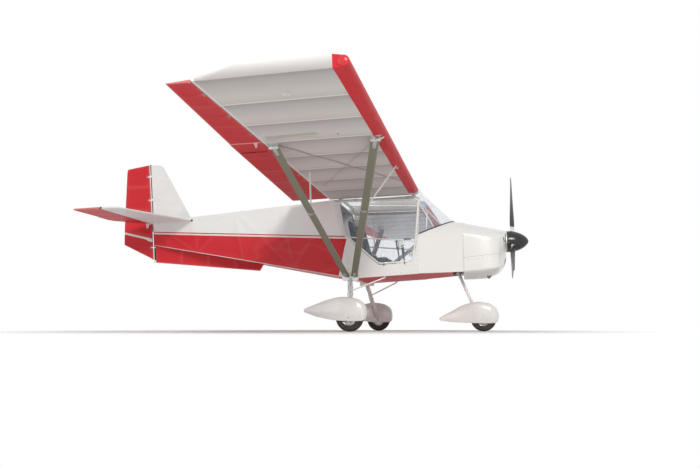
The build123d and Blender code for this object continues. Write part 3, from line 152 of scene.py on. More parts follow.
class Paint:
    """A material whose values vary over the surface."""

    def __init__(self, name):
        PAINTS[name] = self
        self.material = bpy.data.materials.new(name)
        self.material.use_nodes = True
        self.nodes = self.material.node_tree.nodes
        self.links = self.material.node_tree.links
        self.nodes.clear()
        self.output = self.nodes.new("ShaderNodeOutputMaterial")
        self.shader = self.nodes.new("ShaderNodeBsdfPrincipled")
        self.links.new(self.shader.outputs[0], self.output.inputs[0])
        coordinates = self.nodes.new("ShaderNodeTexCoord")
        self.point = Signal(self, coordinates.outputs["Object"])
        split = self.nodes.new("ShaderNodeSeparateXYZ")
        self.links.new(coordinates.outputs["Object"], split.inputs[0])
        self.x, self.y, self.z = (Signal(self, split.outputs[i]) for i in range(3))

    def node(self, kind, settings=None, *values, out=0):
        """Adds one node: its settings first, then its sockets' values or links."""
        made = self.nodes.new("ShaderNode" + kind)
        for key, value in (settings or {}).items():
            setattr(made, key, value)
        named = values[0] if len(values) == 1 and isinstance(values[0], dict) else dict(enumerate(values))
        for key, value in named.items():
            if isinstance(value, Signal):
                self.links.new(value.socket, made.inputs[key])
            else:
                made.inputs[key].default_value = value
        return Signal(self, made.outputs[out])

    def noise(self, scale, detail=3.0, stretch=(1.0, 1.0, 1.0)):
        """Smooth noise from 0 to 1, stretched along the axes."""
        place = self.node("VectorMath", {"operation": "MULTIPLY"}, self.point, stretch)
        return self.node("TexNoise", None, {"Vector": place, "Scale": scale, "Detail": detail})

    def creases(self, scale, stretch=(1.0, 1.0, 1.0)):
        """Long narrow ridges from 0 to 1, where a noise passes its middle."""
        return 1 - abs(self.noise(scale, 2.0, stretch) - 0.5).step(0.025, 0.05)

    def mix(self, share, low, high):
        """Colour between two colours."""
        ends = [v if isinstance(v, Signal) else (*v[:3], 1.0) for v in (low, high)]
        return self.node("Mix", {"data_type": "RGBA"}, {0: share, 6: ends[0], 7: ends[1]}, out=2)

    def attribute(self, name):
        """A value that the piece carries at its points."""
        return self.node("Attribute", {"attribute_name": name}, out=2)

    def relief(self, height, depth):
        """Raises the surface where height is larger."""
        bump = self.node("Bump", None, {"Height": height, "Distance": depth, "Strength": 1.0})
        self.set(Normal=bump)

    def set(self, **values):
        """Sets the surface's sockets by name, with _ for a space."""
        for key, value in values.items():
            socket = self.shader.inputs[key.replace("_", " ")]
            if isinstance(value, Signal):
                self.links.new(value.socket, socket)
            else:
                socket.default_value = (*value, 1.0) if isinstance(value,
                    tuple) and len(value) == 3 else value
        return self


# Lines and sections


def arc_through(a, b, c, count):
    """Points on the circle through three points of a plane, from a by b to c."""
    a, b, c = (np.asarray(p, float) for p in (a, b, c))
    rows = np.array([b - a, c - a])
    centre = np.linalg.solve(2 * rows, (rows * (rows + 2 * a)).sum(1))
    turn = [np.arctan2(*(p - centre)[::-1]) for p in (a, b, c)]
    sweep = (turn[2] - turn[0]) % (2 * np.pi)
    if (turn[1] - turn[0]) % (2 * np.pi) > sweep:
        sweep -= 2 * np.pi
    angle = turn[0] + sweep * np.linspace(0, 1, count)
    radius = np.hypot(*(a - centre))
    return centre + radius * np.stack([np.cos(angle), np.sin(angle)], 1)


def smooth_rows(table, at):
    """Values between a table's rows, by a cubic that doesn't overshoot; the first column is the place."""
    table, at = np.asarray(table, float), np.asarray(at, float)
    place, values = table[:, 0], table[:, 1:]
    gap = np.diff(place)[:, None]
    slope = np.diff(values, axis=0) / gap
    total = slope[1:] + slope[:-1]
    same = slope[1:] * slope[:-1] > 0
    inner = np.where(same, 2 * slope[1:] * slope[:-1] / np.where(same, total, 1.0), 0.0)
    tangent = np.vstack([slope[:1], inner, slope[-1:]])
    i = np.clip(np.searchsorted(place, at, side="right") - 1, 0, len(place) - 2)
    t = ((at - place[i]) / gap[i, 0])[:, None]
    return ((1 + 2 * t) * (1 - t) ** 2 * values[i] + t * (1 - t) ** 2 * gap[i] * tangent[i]
        + t ** 2 * (3 - 2 * t) * values[i + 1] + t ** 2 * (t - 1) * gap[i] * tangent[i + 1])


def at_lengths(run, lengths):
    """Points of a polyline at distances along it."""
    run = np.asarray(run, float)
    passed = np.concatenate([[0], np.cumsum(np.linalg.norm(np.diff(run, axis=0), axis=1))])
    return np.stack([np.interp(lengths, passed, column) for column in run.T], 1)


def joined(runs, counts, cuts, turn=5):
    """Closed loop from runs that meet end to end, each joint rounded.

    Each run keeps its middle, evenly divided; between two runs a quadratic curve starts and ends
    a cut's distance from their corner, which is its control point.
    """
    loop, ends = [], []
    for run, count, before, after in zip(runs, counts, cuts, np.roll(cuts, -1)):
        run = np.asarray(run, float)
        length = np.linalg.norm(np.diff(run, axis=0), axis=1).sum()
        cut_in, cut_out = min(before, 0.45 * length), min(after, 0.45 * length)
        ends.append(at_lengths(run, np.linspace(cut_in, length - cut_out, count)))
    for i, points in enumerate(ends):
        following = ends[(i + 1) % len(ends)][0]
        corner = np.asarray(runs[i][-1], float)
        s = np.linspace(0, 1, turn + 2)[1:-1, None]
        loop += [points, (1 - s) ** 2 * points[-1] + 2 * s * (1 - s) * corner + s ** 2 * following]
    return np.concatenate(loop)


def distance_to_lines(points, lines):
    """Shortest distance from each point of a plane to any of the straight lines."""
    lines = np.asarray(lines, float)
    start, way = lines[:, 0], lines[:, 1] - lines[:, 0]
    share = ((points[..., None, :] - start) * way).sum(-1) / (way ** 2).sum(-1)
    foot = start + np.clip(share, 0, 1)[..., None] * way
    return np.linalg.norm(points[..., None, :] - foot, axis=-1).min(-1)


def turns(count):
    """Angles evenly round a circle."""
    return np.linspace(0, 2 * np.pi, count, endpoint=False)


def unit(ways):
    """The same directions with length 1."""
    return ways / np.linalg.norm(ways, axis=-1, keepdims=True)


def circle(turn, side, across):
    """cos(turn) * side + sin(turn) * across, one row of points for each pair of directions."""
    return np.cos(turn)[:, None] * side[..., None, :] + np.sin(turn)[:, None] * across[..., None, :]


def crossing_ways(way):
    """Two unit vectors across a direction."""
    way = unit(way)
    side = unit(np.cross(way, Z_WAY if abs(way[2]) < 0.9 else X_WAY))
    return side, np.cross(way, side)


def disc(count):
    """Grid of a unit disc: x = s * sqrt(1 - t * t / 2) and y = t * sqrt(1 - s * s / 2)."""
    s, t = np.meshgrid(np.linspace(-1, 1, count), np.linspace(-1, 1, count))
    return s * np.sqrt(1 - t ** 2 / 2), t * np.sqrt(1 - s ** 2 / 2)


def seat_on(grid, inside):
    """A surface's points and outward normals, as a function that seats other points on it.

    The nearest grid point's tangent plane stands for the surface there.
    """
    normals = np.cross(np.gradient(grid, axis=0), np.gradient(grid, axis=1))
    normals /= np.linalg.norm(normals, axis=-1, keepdims=True) + 1e-12
    normals *= np.sign(((grid - inside) * normals).sum(-1, keepdims=True))
    points, normals = grid.reshape(-1, 3), normals.reshape(-1, 3)

    def near(wanted):
        wanted = np.asarray(wanted, float)
        flat = wanted.reshape(-1, 3)
        pick = ((flat[:, None] - points[None]) ** 2).sum(-1).argmin(1)
        out = normals[pick]
        found = flat - ((flat - points[pick]) * out).sum(-1, keepdims=True) * out
        return found.reshape(wanted.shape), out.reshape(wanted.shape)

    return near


class Form:
    """Surfaces gathered into one mesh."""

    def __init__(self):
        self.points, self.faces, self.slots, self.values, self.count = [], [], [], {}, 0

    def add(self, points, faces, slot=0, **values):
        """Adds a closed surface, turned so that its faces look outwards."""
        points = np.asarray(points, float).reshape(-1, 3)
        faces = [np.asarray(f, int) for f in faces]
        volume, base = 0.0, points.mean(0)
        for f in faces:
            for k in range(1, f.shape[1] - 1):
                a, b, c = (points[f[:, i]] - base for i in (0, k, k + 1))
                volume += np.einsum("ij,ij->i", a, np.cross(b, c)).sum()
        if volume < 0:
            faces = [f[:, ::-1] for f in faces]
        for f in faces:
            self.faces.append(f + self.count)
            self.slots.append(np.full(len(f), slot))
        for key in set(values) | set(self.values):
            held = self.values.setdefault(key, [np.zeros(self.count)] if self.count else [])
            value = np.asarray(values.get(key, 0.0), float)
            held.append(np.broadcast_to(value.ravel() if value.ndim else value, len(points)).astype(float))
        self.points.append(points)
        self.count += len(points)
        return self

    def sheet(self, grid, hoop=False, ends=True, slot=0, **values):
        """Adds a surface from closed rows of points, the last joined to the first or flat ends on both."""
        rows, columns = grid.shape[:2]
        i, j = np.arange(rows if hoop else rows - 1)[:, None], np.arange(columns)[None, :]
        k, m = (i + 1) % rows, (j + 1) % columns
        faces = [np.stack([i * columns + j, i * columns + m, k * columns + m, k * columns + j], 2).reshape(-1,
            4)]
        if ends and not hoop:
            faces += [np.arange(columns)[None, ::-1], (rows - 1) * columns + np.arange(columns)[None, :]]
        return self.add(grid.reshape(-1, 3), faces, slot, **values)

    def slab(self, top, low, slot=0, **values):
        """Adds a closed pad between two grids of points that lie one under the other."""
        rows, columns = top.shape[:2]
        index = np.arange(rows * columns).reshape(rows, columns)
        quads = np.stack([index[:-1, :-1], index[:-1, 1:], index[1:, 1:], index[1:, :-1]], 2).reshape(-1, 4)
        rim = np.concatenate([index[0], index[1:, -1], index[-1, -2::-1], index[-2:0:-1, 0]])
        after, size = np.roll(rim, -1), rows * columns
        walls = np.stack([rim, rim + size, after + size, after], 1)
        return self.add(np.concatenate([top.reshape(-1, 3), low.reshape(-1, 3)]),
            [quads, quads[:, ::-1] + size, walls], slot, **values)

    def studs(self, points, ways, radius, height, sides=8, slot=0):
        """Adds a small domed head at each point, standing along its way."""
        points = np.asarray(points, float).reshape(-1, 3)
        ways = np.broadcast_to(np.asarray(ways, float), points.shape)
        side = unit(np.cross(ways, [0.31, 0.22, 0.92]))
        ring = circle(turns(sides), side, np.cross(ways, side))
        levels = [(-0.4 * height, radius), (0.45 * height, radius), (height, 0.62 * radius)]
        grid = np.stack([points[:, None] + h * ways[:, None] + r * ring for h, r in levels], 1)
        index = np.arange(len(points) * 3 * sides).reshape(-1, 3, sides)
        after = np.roll(index, -1, 2)
        walls = np.stack([index[:, :-1], after[:, :-1], after[:, 1:], index[:, 1:]], 3).reshape(-1, 4)
        return self.add(grid, [walls, index[:, 2], index[:, 0, ::-1]], slot)

    def tube(self, path, radius, sides=16, slot=0):
        """Adds a round tube along a path, its radius one number or one for each point."""
        path = np.asarray(path, float)
        radius = np.broadcast_to(radius, len(path))
        way = np.gradient(path, axis=0)
        side, rings = crossing_ways(way[0])[0], []
        for point, w, r in zip(path, unit(way), radius):
            side = unit(side - w * (side @ w))
            rings.append(point + r * circle(turns(sides), side, np.cross(w, side)))
        return self.sheet(np.array(rings), slot=slot)

    def rod(self, start, end, radius, sides=16, slot=0, bevel=0.15):
        """Adds a straight rod with rounded rims."""
        start, end = np.asarray(start, float), np.asarray(end, float)
        length = np.linalg.norm(end - start)
        cut = min(bevel * radius, length / 4) / length
        path = [start + (end - start) * t for t in (0, cut / 2, cut, 1 - cut, 1 - cut / 2, 1)]
        return self.tube(path, np.array([1 - bevel, 1 - bevel * 0.3, 1, 1, 1 - bevel * 0.3, 1 - bevel])
            * radius, sides, slot)

    def peg(self, middle, half, radius, sides=16, slot=0, bevel=0.15):
        """Adds a rod to both sides of a point, half giving its way and half its length."""
        return self.rod(np.subtract(middle, half), np.add(middle, half), radius, sides, slot, bevel)

    def spun(self, profile, origin, axis, sides=48, slot=0, hoop=False):
        """Adds a surface turned about an axis from (along, radius) pairs."""
        axis, profile = unit(np.asarray(axis, float)), np.asarray(profile, float)
        ring = circle(turns(sides), *crossing_ways(axis))
        grid = np.asarray(origin, float) + profile[:, None, :1] * axis + profile[:, None, 1:] * ring[None]
        return self.sheet(grid, hoop, slot=slot)

    def box(self, low, high, slot=0, round_by=0.002, origin=(0, 0, 0), ways=np.eye(3)):
        """Adds a box between two corners along given ways: a ball of the edges' radius, its eight
        parts pushed out to the corners."""
        low, high = np.asarray(low, float), np.asarray(high, float)
        sizes, middle = (high - low) / 2, (high + low) / 2
        r = min(round_by, sizes.min())
        u, v = np.meshgrid((np.arange(16) + 0.5) * np.pi / 8, (np.arange(6) + 0.5) * np.pi / 6 - np.pi / 2)
        ball = np.stack([np.cos(v) * np.cos(u), np.cos(v) * np.sin(u), np.sin(v)], 2)
        grid = (middle + np.sign(ball) * (sizes - r) + r * ball) @ np.asarray(ways) + np.asarray(origin)
        return self.sheet(grid, slot=slot)

    def pad(self, near, points, lift, sink=0.002, slot=0):
        """Adds a thin pad over a grid of points, seated on a surface by its near function."""
        place, out = near(points)
        return self.slab(place + lift * out, place - sink * out, slot)

    def mirrored(self):
        """The same surfaces on the other side."""
        twin = Form()
        twin.points = [p * [1, -1, 1] for p in self.points]
        twin.faces = [f[:, ::-1] for f in self.faces]
        twin.slots, twin.values, twin.count = list(self.slots), dict(self.values), self.count
        return twin

    def both(self):
        """These surfaces and their mirror image together."""
        twin = self.mirrored()
        twin.points = self.points + twin.points
        twin.faces = self.faces + [f + self.count for f in twin.faces]
        twin.slots = self.slots + twin.slots
        twin.values = {key: parts + parts for key, parts in self.values.items()}
        twin.count = 2 * self.count
        return twin

    def mesh(self, name, merge=False):
        """The mesh of all surfaces; merging joins points that lie together."""
        mesh = bpy.data.meshes.new(name)
        points = np.concatenate(self.points)
        mesh.vertices.add(len(points))
        mesh.vertices.foreach_set("co", points.astype(np.float32).ravel())
        sizes = np.concatenate([np.full(len(f), f.shape[1]) for f in self.faces])
        corners = np.concatenate([f.ravel() for f in self.faces])
        mesh.loops.add(len(corners))
        mesh.loops.foreach_set("vertex_index", corners.astype(np.int32))
        mesh.polygons.add(len(sizes))
        mesh.polygons.foreach_set("loop_start", (np.cumsum(sizes) - sizes).astype(np.int32))
        mesh.polygons.foreach_set("material_index", np.concatenate(self.slots).astype(np.int32))
        mesh.polygons.foreach_set("use_smooth", np.ones(len(sizes), bool))
        for key, parts in self.values.items():
            layer = mesh.attributes.new(key, "FLOAT", "POINT")
            layer.data.foreach_set("value", np.concatenate(parts).astype(np.float32))
        mesh.update(calc_edges=True)
        mesh.validate()
        if merge:
            work = bmesh.new()
            work.from_mesh(mesh)
            bmesh.ops.remove_doubles(work, verts=work.verts, dist=2e-5)
            bmesh.ops.dissolve_degenerate(work, edges=work.edges, dist=1e-6)
            bmesh.ops.recalc_face_normals(work, faces=work.faces)
            work.to_mesh(mesh)
            work.free()
        return mesh

    def build(self, name, body, paints, replaces=(), slot=None, sharp=35.0, merge=False):
        """Makes the mesh object and lets it ride on its body."""
        mesh = self.mesh(name, merge)
        mesh.set_sharp_from_angle(angle=np.radians(sharp))
        for paint in paints.split():
            mesh.materials.append(PAINTS[paint].material)
        piece = bpy.data.objects.new(name, mesh)
        bpy.context.scene.collection.objects.link(piece)
        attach(piece, body)
        if replaces:
            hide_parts(*replaces)
        return piece


PAINTS = {}


# Materials


def cloth_finish(paint, base, gloss=0.38):
    """Covering fabric: dusty colour and soft shine; returns the fine thread pattern for relief."""
    dust, patches = paint.noise(5.0, 4.0), paint.noise(1.3, 2.0)
    colour = paint.mix(0.03 * dust, base, (0.5, 0.45, 0.38))
    paint.set(Base_Color=colour, Roughness=gloss + 0.14 * patches + 0.06 * dust, Coat_Weight=0.04,
        Coat_Roughness=0.2, Specular_IOR_Level=0.18)
    return (paint.x.repeat(0.0018) + paint.z.repeat(0.0018) + paint.y.repeat(0.0018)) * 60.0


def make_wing_fabric(white, red, covering):
    """Clear-white cloth over ribs, with a red nose band, and painted shade, highlights and tube shadows on
    the underside; run, out and under come from the mesh.
    """
    wing = Paint("wing_fabric")
    run, out, under = wing.attribute("run"), wing.attribute("out"), wing.attribute("under")
    bays = round(WING_SPAN / covering.rib_pitch)
    rib = out.repeat(WING_SPAN / bays)
    tape = (1 - rib.step(0.013, 0.002)) * out.band(0.013, WING_SPAN - 0.013)
    stitch = tape * (1 - run.repeat(0.05).step(0.004, 0.002)) * (1 - rib.step(0.002, 0.001))
    nose = 1 - run.step(covering.nose_band, 0.004)
    root = 1 - out.step(0.1, 0.004)
    shade = (1 - (rib - 0.02) / 0.15).maths("MAXIMUM", 0.0)
    streaks = wing.noise(7.0, 3.0, (0.15, 1.0, 1.0))
    warm = wing.noise(1.1, 3.0)
    # Painted shade: the underside turns darker warm grey, standing for cloth in shade with light showing
    # through it
    shaded_underside = wing.mix(warm * 0.5, (0.62, 0.585, 0.545), (0.64, 0.6, 0.6))
    cloth = wing.mix(under * 0.62, white, shaded_underside)
    cloth = wing.mix((1 - out.step(2.6, 0.1)) * under * 0.3, cloth, (0.66, 0.5, 0.48))
    # Painted billow shading under each bay: a cream highlight just outboard of a rib, fading to painted shade
    # just inboard of the next
    bay = (out * (bays / WING_SPAN)).maths("FRACT")
    cloth = wing.mix(bay * bay * under * 0.62, cloth, (0.36, 0.33, 0.36))
    cloth = wing.mix((1 - bay) * (1 - bay) * under * 0.45, cloth, (0.92, 0.86, 0.76))
    # Painted shade: a grey zone on both sides of each rib, underneath
    cloth = wing.mix(shade * shade * under * 0.3, cloth, (0.34, 0.31, 0.29))
    patch = out.band(2.655, 2.835, 0.03) * run.band(0.6, 1.08, 0.05) * streaks.band(0.3, 0.62, 0.1)
    cloth = wing.mix(patch * under * 0.55, cloth, (0.36, 0.38, 0.31))
    # A small hole in the cloth drawn as a dark spot: painted shade inside it
    spot = ((run - 0.42) * (run - 0.42) + (out - 2.745) * (out - 2.745)) ** 0.5
    cloth = wing.mix((1 - spot.step(0.013, 0.006)) * under * 0.8, cloth, (0.1, 0.09, 0.08))
    cloth = wing.mix(streaks * under * 0.2, cloth, (0.44, 0.4, 0.37))
    cloth = wing.mix(tape * (0.35 + 0.4 * under), cloth, (0.93, 0.91, 0.86))
    spar = run.band(0.085, 0.128, 0.004) * under
    # Painted shadows of the two diagonal tubes, seen through the cloth from underneath
    for start, end, share in (((1.04, 2.55), (0.12, 0.8), 0.55), ((0.12, 2.5), (1.04, 0.75), 0.22)):
        slope_out = (end[1] - start[1]) / (end[0] - start[0])
        length = np.hypot(1.0, slope_out)
        off = abs(out - start[1] - (run - start[0]) * slope_out) / length
        inside = run.band(0.12, 1.04, 0.02)
        cloth = wing.mix((1 - off.step(0.021, 0.012)) * inside * under * share, cloth, (0.23, 0.2, 0.19))
    cloth = wing.mix(stitch * 0.6, cloth, (0.4, 0.38, 0.35))
    fairing = wing.mix(nose * root, cloth, (0.55, 0.61, 0.68))
    base = wing.mix(nose * (1 - root), fairing, red)
    threads = cloth_finish(wing, base)
    reach = ((run - 1.0) * (run - 1.0) + (out - 2.6) * (out - 2.6)) ** 0.5
    fan = ((out - 2.6) / (1.12 - run)).maths("ARCTANGENT")
    folds = wing.node("TexNoise", {"noise_dimensions": "1D"}, {"W": fan, "Scale": 5.0, "Detail": 1.0})
    folds = folds * (1 - reach.step(0.42, 0.5)) * under
    wing.relief(threads * 0.02 + tape * 0.5 + nose * 0.5 + spar * 0.2 + streaks * under * 1.2 + stitch * 0.5
        + folds * 7.0, 0.0012)


def make_plain_fabrics(white, red):
    """Fabric over the tail's and the moving surfaces' tubes; bone is 1 over a tube."""
    for name, base in (("red_fabric", red), ("white_fabric", white), ("fin_fabric", white),
            ("rudder_fabric", red)):
        cloth = Paint(name)
        bone, rim = cloth.attribute("bone"), cloth.attribute("rim")
        colour = cloth.mix(bone * 0.07, base, (0.95, 0.6, 0.54) if base == red else (0.7, 0.69, 0.66))
        if name == "fin_fabric":
            # Painted shadow: a blue-grey tint over the fin's foot, near the stabiliser
            foot = (1 - cloth.z.step(1.665, 0.02)) * cloth.x.step(-1.95, 0.3) * cloth.z.step(1.53)
            colour = cloth.mix(foot * 0.3, colour, (0.5, 0.56, 0.66))
        if name == "rudder_fabric":
            slant = cloth.z - (1.394 + (cloth.x + 2.795) * (1.296 - 1.394) / (2.795 - 2.38))
            widening = 0.03 + 0.018 * cloth.x.step(-2.44, 0.1)
            stripe = (slant / widening).band(-1.0, 0.0, 0.06)
            colour = cloth.mix(stripe, colour, white)
        edge = 1 - rim.step(0.006, 0.004)
        colour = cloth.mix(edge * 0.3, colour, (0.9, 0.62, 0.56) if base == red else (0.8, 0.8, 0.78))
        folds = cloth.noise(2.4, 2.0)
        # Painted shade: the colour darkens along the fold noise that also bumps the cloth
        threads = cloth_finish(cloth, cloth.mix(folds * 0.16, colour, tuple(c * 0.55 for c in base)))
        seam = rim.band(0.016, 0.02, 0.002)
        cloth.relief(threads * 0.02 + folds * 2.4 + seam * 0.4, 0.0012)


def make_fuselage_fabrics(white, red):
    """White above and red below a pair of lines along the side, with folds in the red cloth."""
    for name in ("fuselage_fabric", "belly_fabric"):
        body = Paint(name)
        line = body.z - (1.193 + (0.487 - body.x) * (1.384 - 1.193) / (0.487 + 2.307))
        front = body.x - (body.z - 1.15) * (0.604 - 0.51) / (1.15 - 0.744)
        aft = 1 - front.step(0.56, 0.003)
        below = (1 - line.step(0.0, 0.002)) * aft
        stripe = line.band(-0.036, -0.014, 0.002) * aft
        belly = name == "belly_fabric"
        base = red if belly else body.mix(stripe, body.mix(below, white, red), white)
        bone = body.attribute("bone")
        creases = body.creases(2.2, (0.45, 1.0, 1.3))
        deep = body.creases(4.6, (0.8, 1.0, 0.35))
        soft = body.noise(2.6, 2.0, (0.5, 1.0, 1.7))
        # Painted highlights: the red cloth turns paler along the creases, where sun catches the wrinkles
        base = body.mix(creases * below * 0.06, base, (0.95, 0.3, 0.28))
        # Painted shade: the red cloth darkens where the soft folds dip
        base = body.mix((1 - soft) * 0.2 * below, base, tuple(c * 0.5 for c in red))
        base = body.mix(bone * 0.03, base, (0.96, 0.7, 0.66))
        threads = cloth_finish(body, base, 0.3)
        if belly:
            body.set(Specular_IOR_Level=0.04, Coat_Weight=0.0)
        body.relief(threads * 0.02 + soft * (6.0 if belly else 2.6) + creases * 0.7 + deep * 0.5
            + stripe * 0.3, 0.0012)


def make_shell(white):
    """Glossy painted shell: darker brown blotches, more of them towards the bottom, faint ripples."""
    shell = Paint("white_shell")
    blotches, ripple = shell.noise(4.0, 5.0), shell.noise(26.0, 2.0)
    low = 1 - shell.z.step(0.62, 0.5)
    # Darker and browner in blotches, more so towards the bottom
    base = shell.mix(blotches * 0.07 + low * blotches * 0.22, tuple(min(1.0, c * 1.02) for c in white),
        (0.42, 0.36, 0.28))
    shell.set(Base_Color=base, Roughness=0.15 + 0.14 * blotches, Coat_Weight=0.6, Coat_Roughness=0.06)
    shell.relief(ripple, 0.00025)


# Name: colour, roughness, metallic, wear
HARD_FINISHES = {
    "strut_paint": ((0.215, 0.213, 0.150), 0.36, 0.20, 0.20),
    "white_tube": ((0.82, 0.81, 0.78), 0.28, 0.0, 0.12),
    "frame_tube": ((0.60, 0.60, 0.58), 0.32, 0.80, 0.20),
    "bare_metal": ((0.58, 0.58, 0.56), 0.30, 0.90, 0.25),
    "silver_sleeve": ((0.66, 0.66, 0.64), 0.36, 0.55, 0.30),
    "dark_metal": ((0.055, 0.055, 0.060), 0.42, 0.30, 0.40),
    "engine_metal": ((0.15, 0.15, 0.16), 0.48, 0.80, 0.40),
    "black_plastic": ((0.020, 0.020, 0.022), 0.52, 0.0, 0.40),
    "blade_plastic": ((0.013, 0.013, 0.014), 0.26, 0.0, 0.35),
    "spinner_gloss": ((0.010, 0.011, 0.013), 0.12, 0.0, 0.20),
    "steel": ((0.44, 0.44, 0.45), 0.26, 1.0, 0.25),
    # Painted shade: a near-black finish for pads, discs and strips that stand for the shade inside holes,
    # slots and gaps
    "dark_opening": ((0.006, 0.006, 0.007), 0.85, 0.0, 0.30),
    "brake_hose": ((0.030, 0.030, 0.032), 0.45, 0.0, 0.30),
    "dial_white": ((0.78, 0.78, 0.74), 0.40, 0.0, 0.05),
    "red_enamel": ((0.60, 0.018, 0.024), 0.22, 0.0, 0.12),
}


def make_hard_finishes(strut):
    """Painted, bare and moulded finishes, each with fine scratches, patches and worn spots."""
    for name, (base, rough, metal, wear) in HARD_FINISHES.items():
        base = strut if name == "strut_paint" else base
        made = Paint(name)
        fine, patches = made.noise(38.0, 4.0), made.noise(3.0, 3.0)
        scratches = made.creases(24.0, (1.0, 1.0, 0.2))
        worn = tuple(min(1.0, c * 1.35 + 0.03) for c in base)
        colour = made.mix(wear * (fine + patches), base, worn)
        made.set(Base_Color=made.mix(scratches * wear * 0.5, colour, worn), Metallic=metal,
            Roughness=rough + 0.14 * (patches - 0.5) + 0.08 * fine)
        made.relief(made.noise(160.0, 2.0) + scratches * 0.4, 0.0001)


def make_rubber():
    """Tyre rubber with road dust in its grooves."""
    rubber = Paint("tyre_rubber")
    dust, grain = rubber.noise(16.0, 5.0), rubber.noise(220.0, 3.0)
    rubber.set(Base_Color=rubber.mix(dust * 0.55, (0.014, 0.014, 0.014), (0.085, 0.072, 0.056)),
        Roughness=0.7 + 0.18 * dust)
    rubber.relief(grain, 0.0002)


def make_glazing(tint):
    """Clear sheet with faint haze and wiping marks."""
    glass = Paint("clear_sheet")
    haze, wipes = glass.noise(3.0, 4.0), glass.creases(9.0, (1.0, 0.4, 0.4))
    glass.set(Base_Color=tint, Roughness=0.04 + 0.05 * haze, Alpha=0.07 + 0.06 * haze + 0.03 * wipes,
        Specular_IOR_Level=0.5, Coat_Weight=0.2, Coat_Roughness=0.02)
    glass.relief(haze, 0.0006)


def make_seat_cloths():
    """Dark woven seat cloth, piping and belt webbing."""
    seat = Paint("seat_cloth")
    threads = (seat.x.repeat(0.0022) + seat.z.repeat(0.0022) + seat.y.repeat(0.0022)) * 260.0
    mottle = seat.noise(9.0, 4.0)
    seat.set(Base_Color=seat.mix(mottle * 0.5, (0.022, 0.026, 0.036), (0.06, 0.062, 0.075)),
        Roughness=0.8 + 0.1 * mottle, Sheen_Weight=0.35, Sheen_Roughness=0.5)
    seat.relief(threads * 0.25, 0.0008)
    belt = Paint("belt_webbing")
    rows = (belt.y.repeat(0.0016) + belt.x.repeat(0.0022)) * 300.0
    belt.set(Base_Color=belt.mix(belt.noise(20.0, 3.0), (0.045, 0.045, 0.05), (0.1, 0.1, 0.11)),
        Roughness=0.62 + 0.2 * belt.noise(30.0, 2.0))
    belt.relief(rows * 0.3, 0.0006)


def make_intake_mesh():
    """Woven black wire over a near-black base that is painted shade in the opening behind it."""
    mesh = Paint("intake_mesh")
    wires = (mesh.y + mesh.z).repeat(0.0056).maths("MINIMUM", (mesh.y - mesh.z).repeat(0.0056))
    wire = 1 - wires.step(0.0009, 0.0006)
    # Painted shade: the base between the wires is near black
    mesh.set(Base_Color=mesh.mix(wire, (0.004, 0.004, 0.004), (0.085, 0.085, 0.088)),
        Roughness=0.75 - 0.35 * wire)
    mesh.relief(wire, 0.0008)


NODE_PAINTS = {
    "wing_fabric": ("wing_left", "wing_right"),
    "red_fabric": ("aileron_left", "aileron_right", "flap_left", "flap_right", "elevator", "ventral_fin"),
    "belly_fabric": ("floor_panel",),
    "fin_fabric": ("fin", "stabiliser"),
    "rudder_fabric": ("rudder",),
    "fuselage_fabric": ("rear_fuselage", "cabin_sides"),
    "white_shell": ("front_deck", "cowl", "main_spats", "nose_spat"),
    "clear_sheet": ("windscreen", "roof_panel", "door_pane_left", "door_pane_right"),
    "strut_paint": ("front_struts", "rear_struts"),
    "white_tube": ("jury_struts", "nose_leg", "door_frame_left", "door_frame_right", "windscreen_tubes",
                   "drag_braces"),
    "silver_sleeve": ("main_legs",),
    "frame_tube": ("longerons", "door_posts", "roof_tubes", "roof_braces", "seat_legs"),
    "bare_metal": ("gear_fittings", "left_rim", "right_rim", "nose_rim", "firewall"),
    "dark_metal": ("trim_tab", "nose_mount"),
    "engine_metal": ("engine_block",),
    "black_plastic": ("instrument_panel", "controls"),
    "blade_plastic": ("propeller",),
    "spinner_gloss": ("spinner",),
    "tyre_rubber": ("left_tyre", "right_tyre", "nose_tyre"),
    "seat_cloth": ("seats",),
}


def make_paints(context):
    """Makes the materials and gives each CAD piece its own."""
    colours = context.scene.aircraft_paintwork
    white, red = tuple(colours.white), tuple(colours.red)
    make_wing_fabric(white, red, context.scene.aircraft_covering)
    make_plain_fabrics(white, red)
    make_fuselage_fabrics(white, red)
    make_shell(white)
    make_hard_finishes(tuple(colours.strut))
    make_rubber()
    make_glazing(tuple(colours.glazing))
    make_seat_cloths()
    make_intake_mesh()
    for paint, nodes in NODE_PAINTS.items():
        for node in nodes:
            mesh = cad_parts[node].data
            mesh.materials.clear()
            mesh.materials.append(PAINTS[paint].material)


class AIRCRAFT_OT_paints(bpy.types.Operator):
    """Makes the materials and gives each CAD piece its own."""

    bl_idname = "aircraft.paints"
    bl_label = "Materials"

    def execute(self, context):
        make_paints(context)
        return {"FINISHED"}


# Wings and moving surfaces


def wing_place(run, rise, out):
    """Points of the left wing: run aft of its nose, rise above its chord line, out from its root."""
    run, rise, out = np.broadcast_arrays(run, rise, out)
    return (WING_NOSE + run[..., None] * CHORD_WAY + rise[..., None] * RISE_WAY + out[..., None] * SPAN_WAY)


def underside(run):
    """Rise of the wing's flat underside."""
    return -0.04 + 0.028 * (run - 0.045) / (MAIN_CHORD - 0.045)


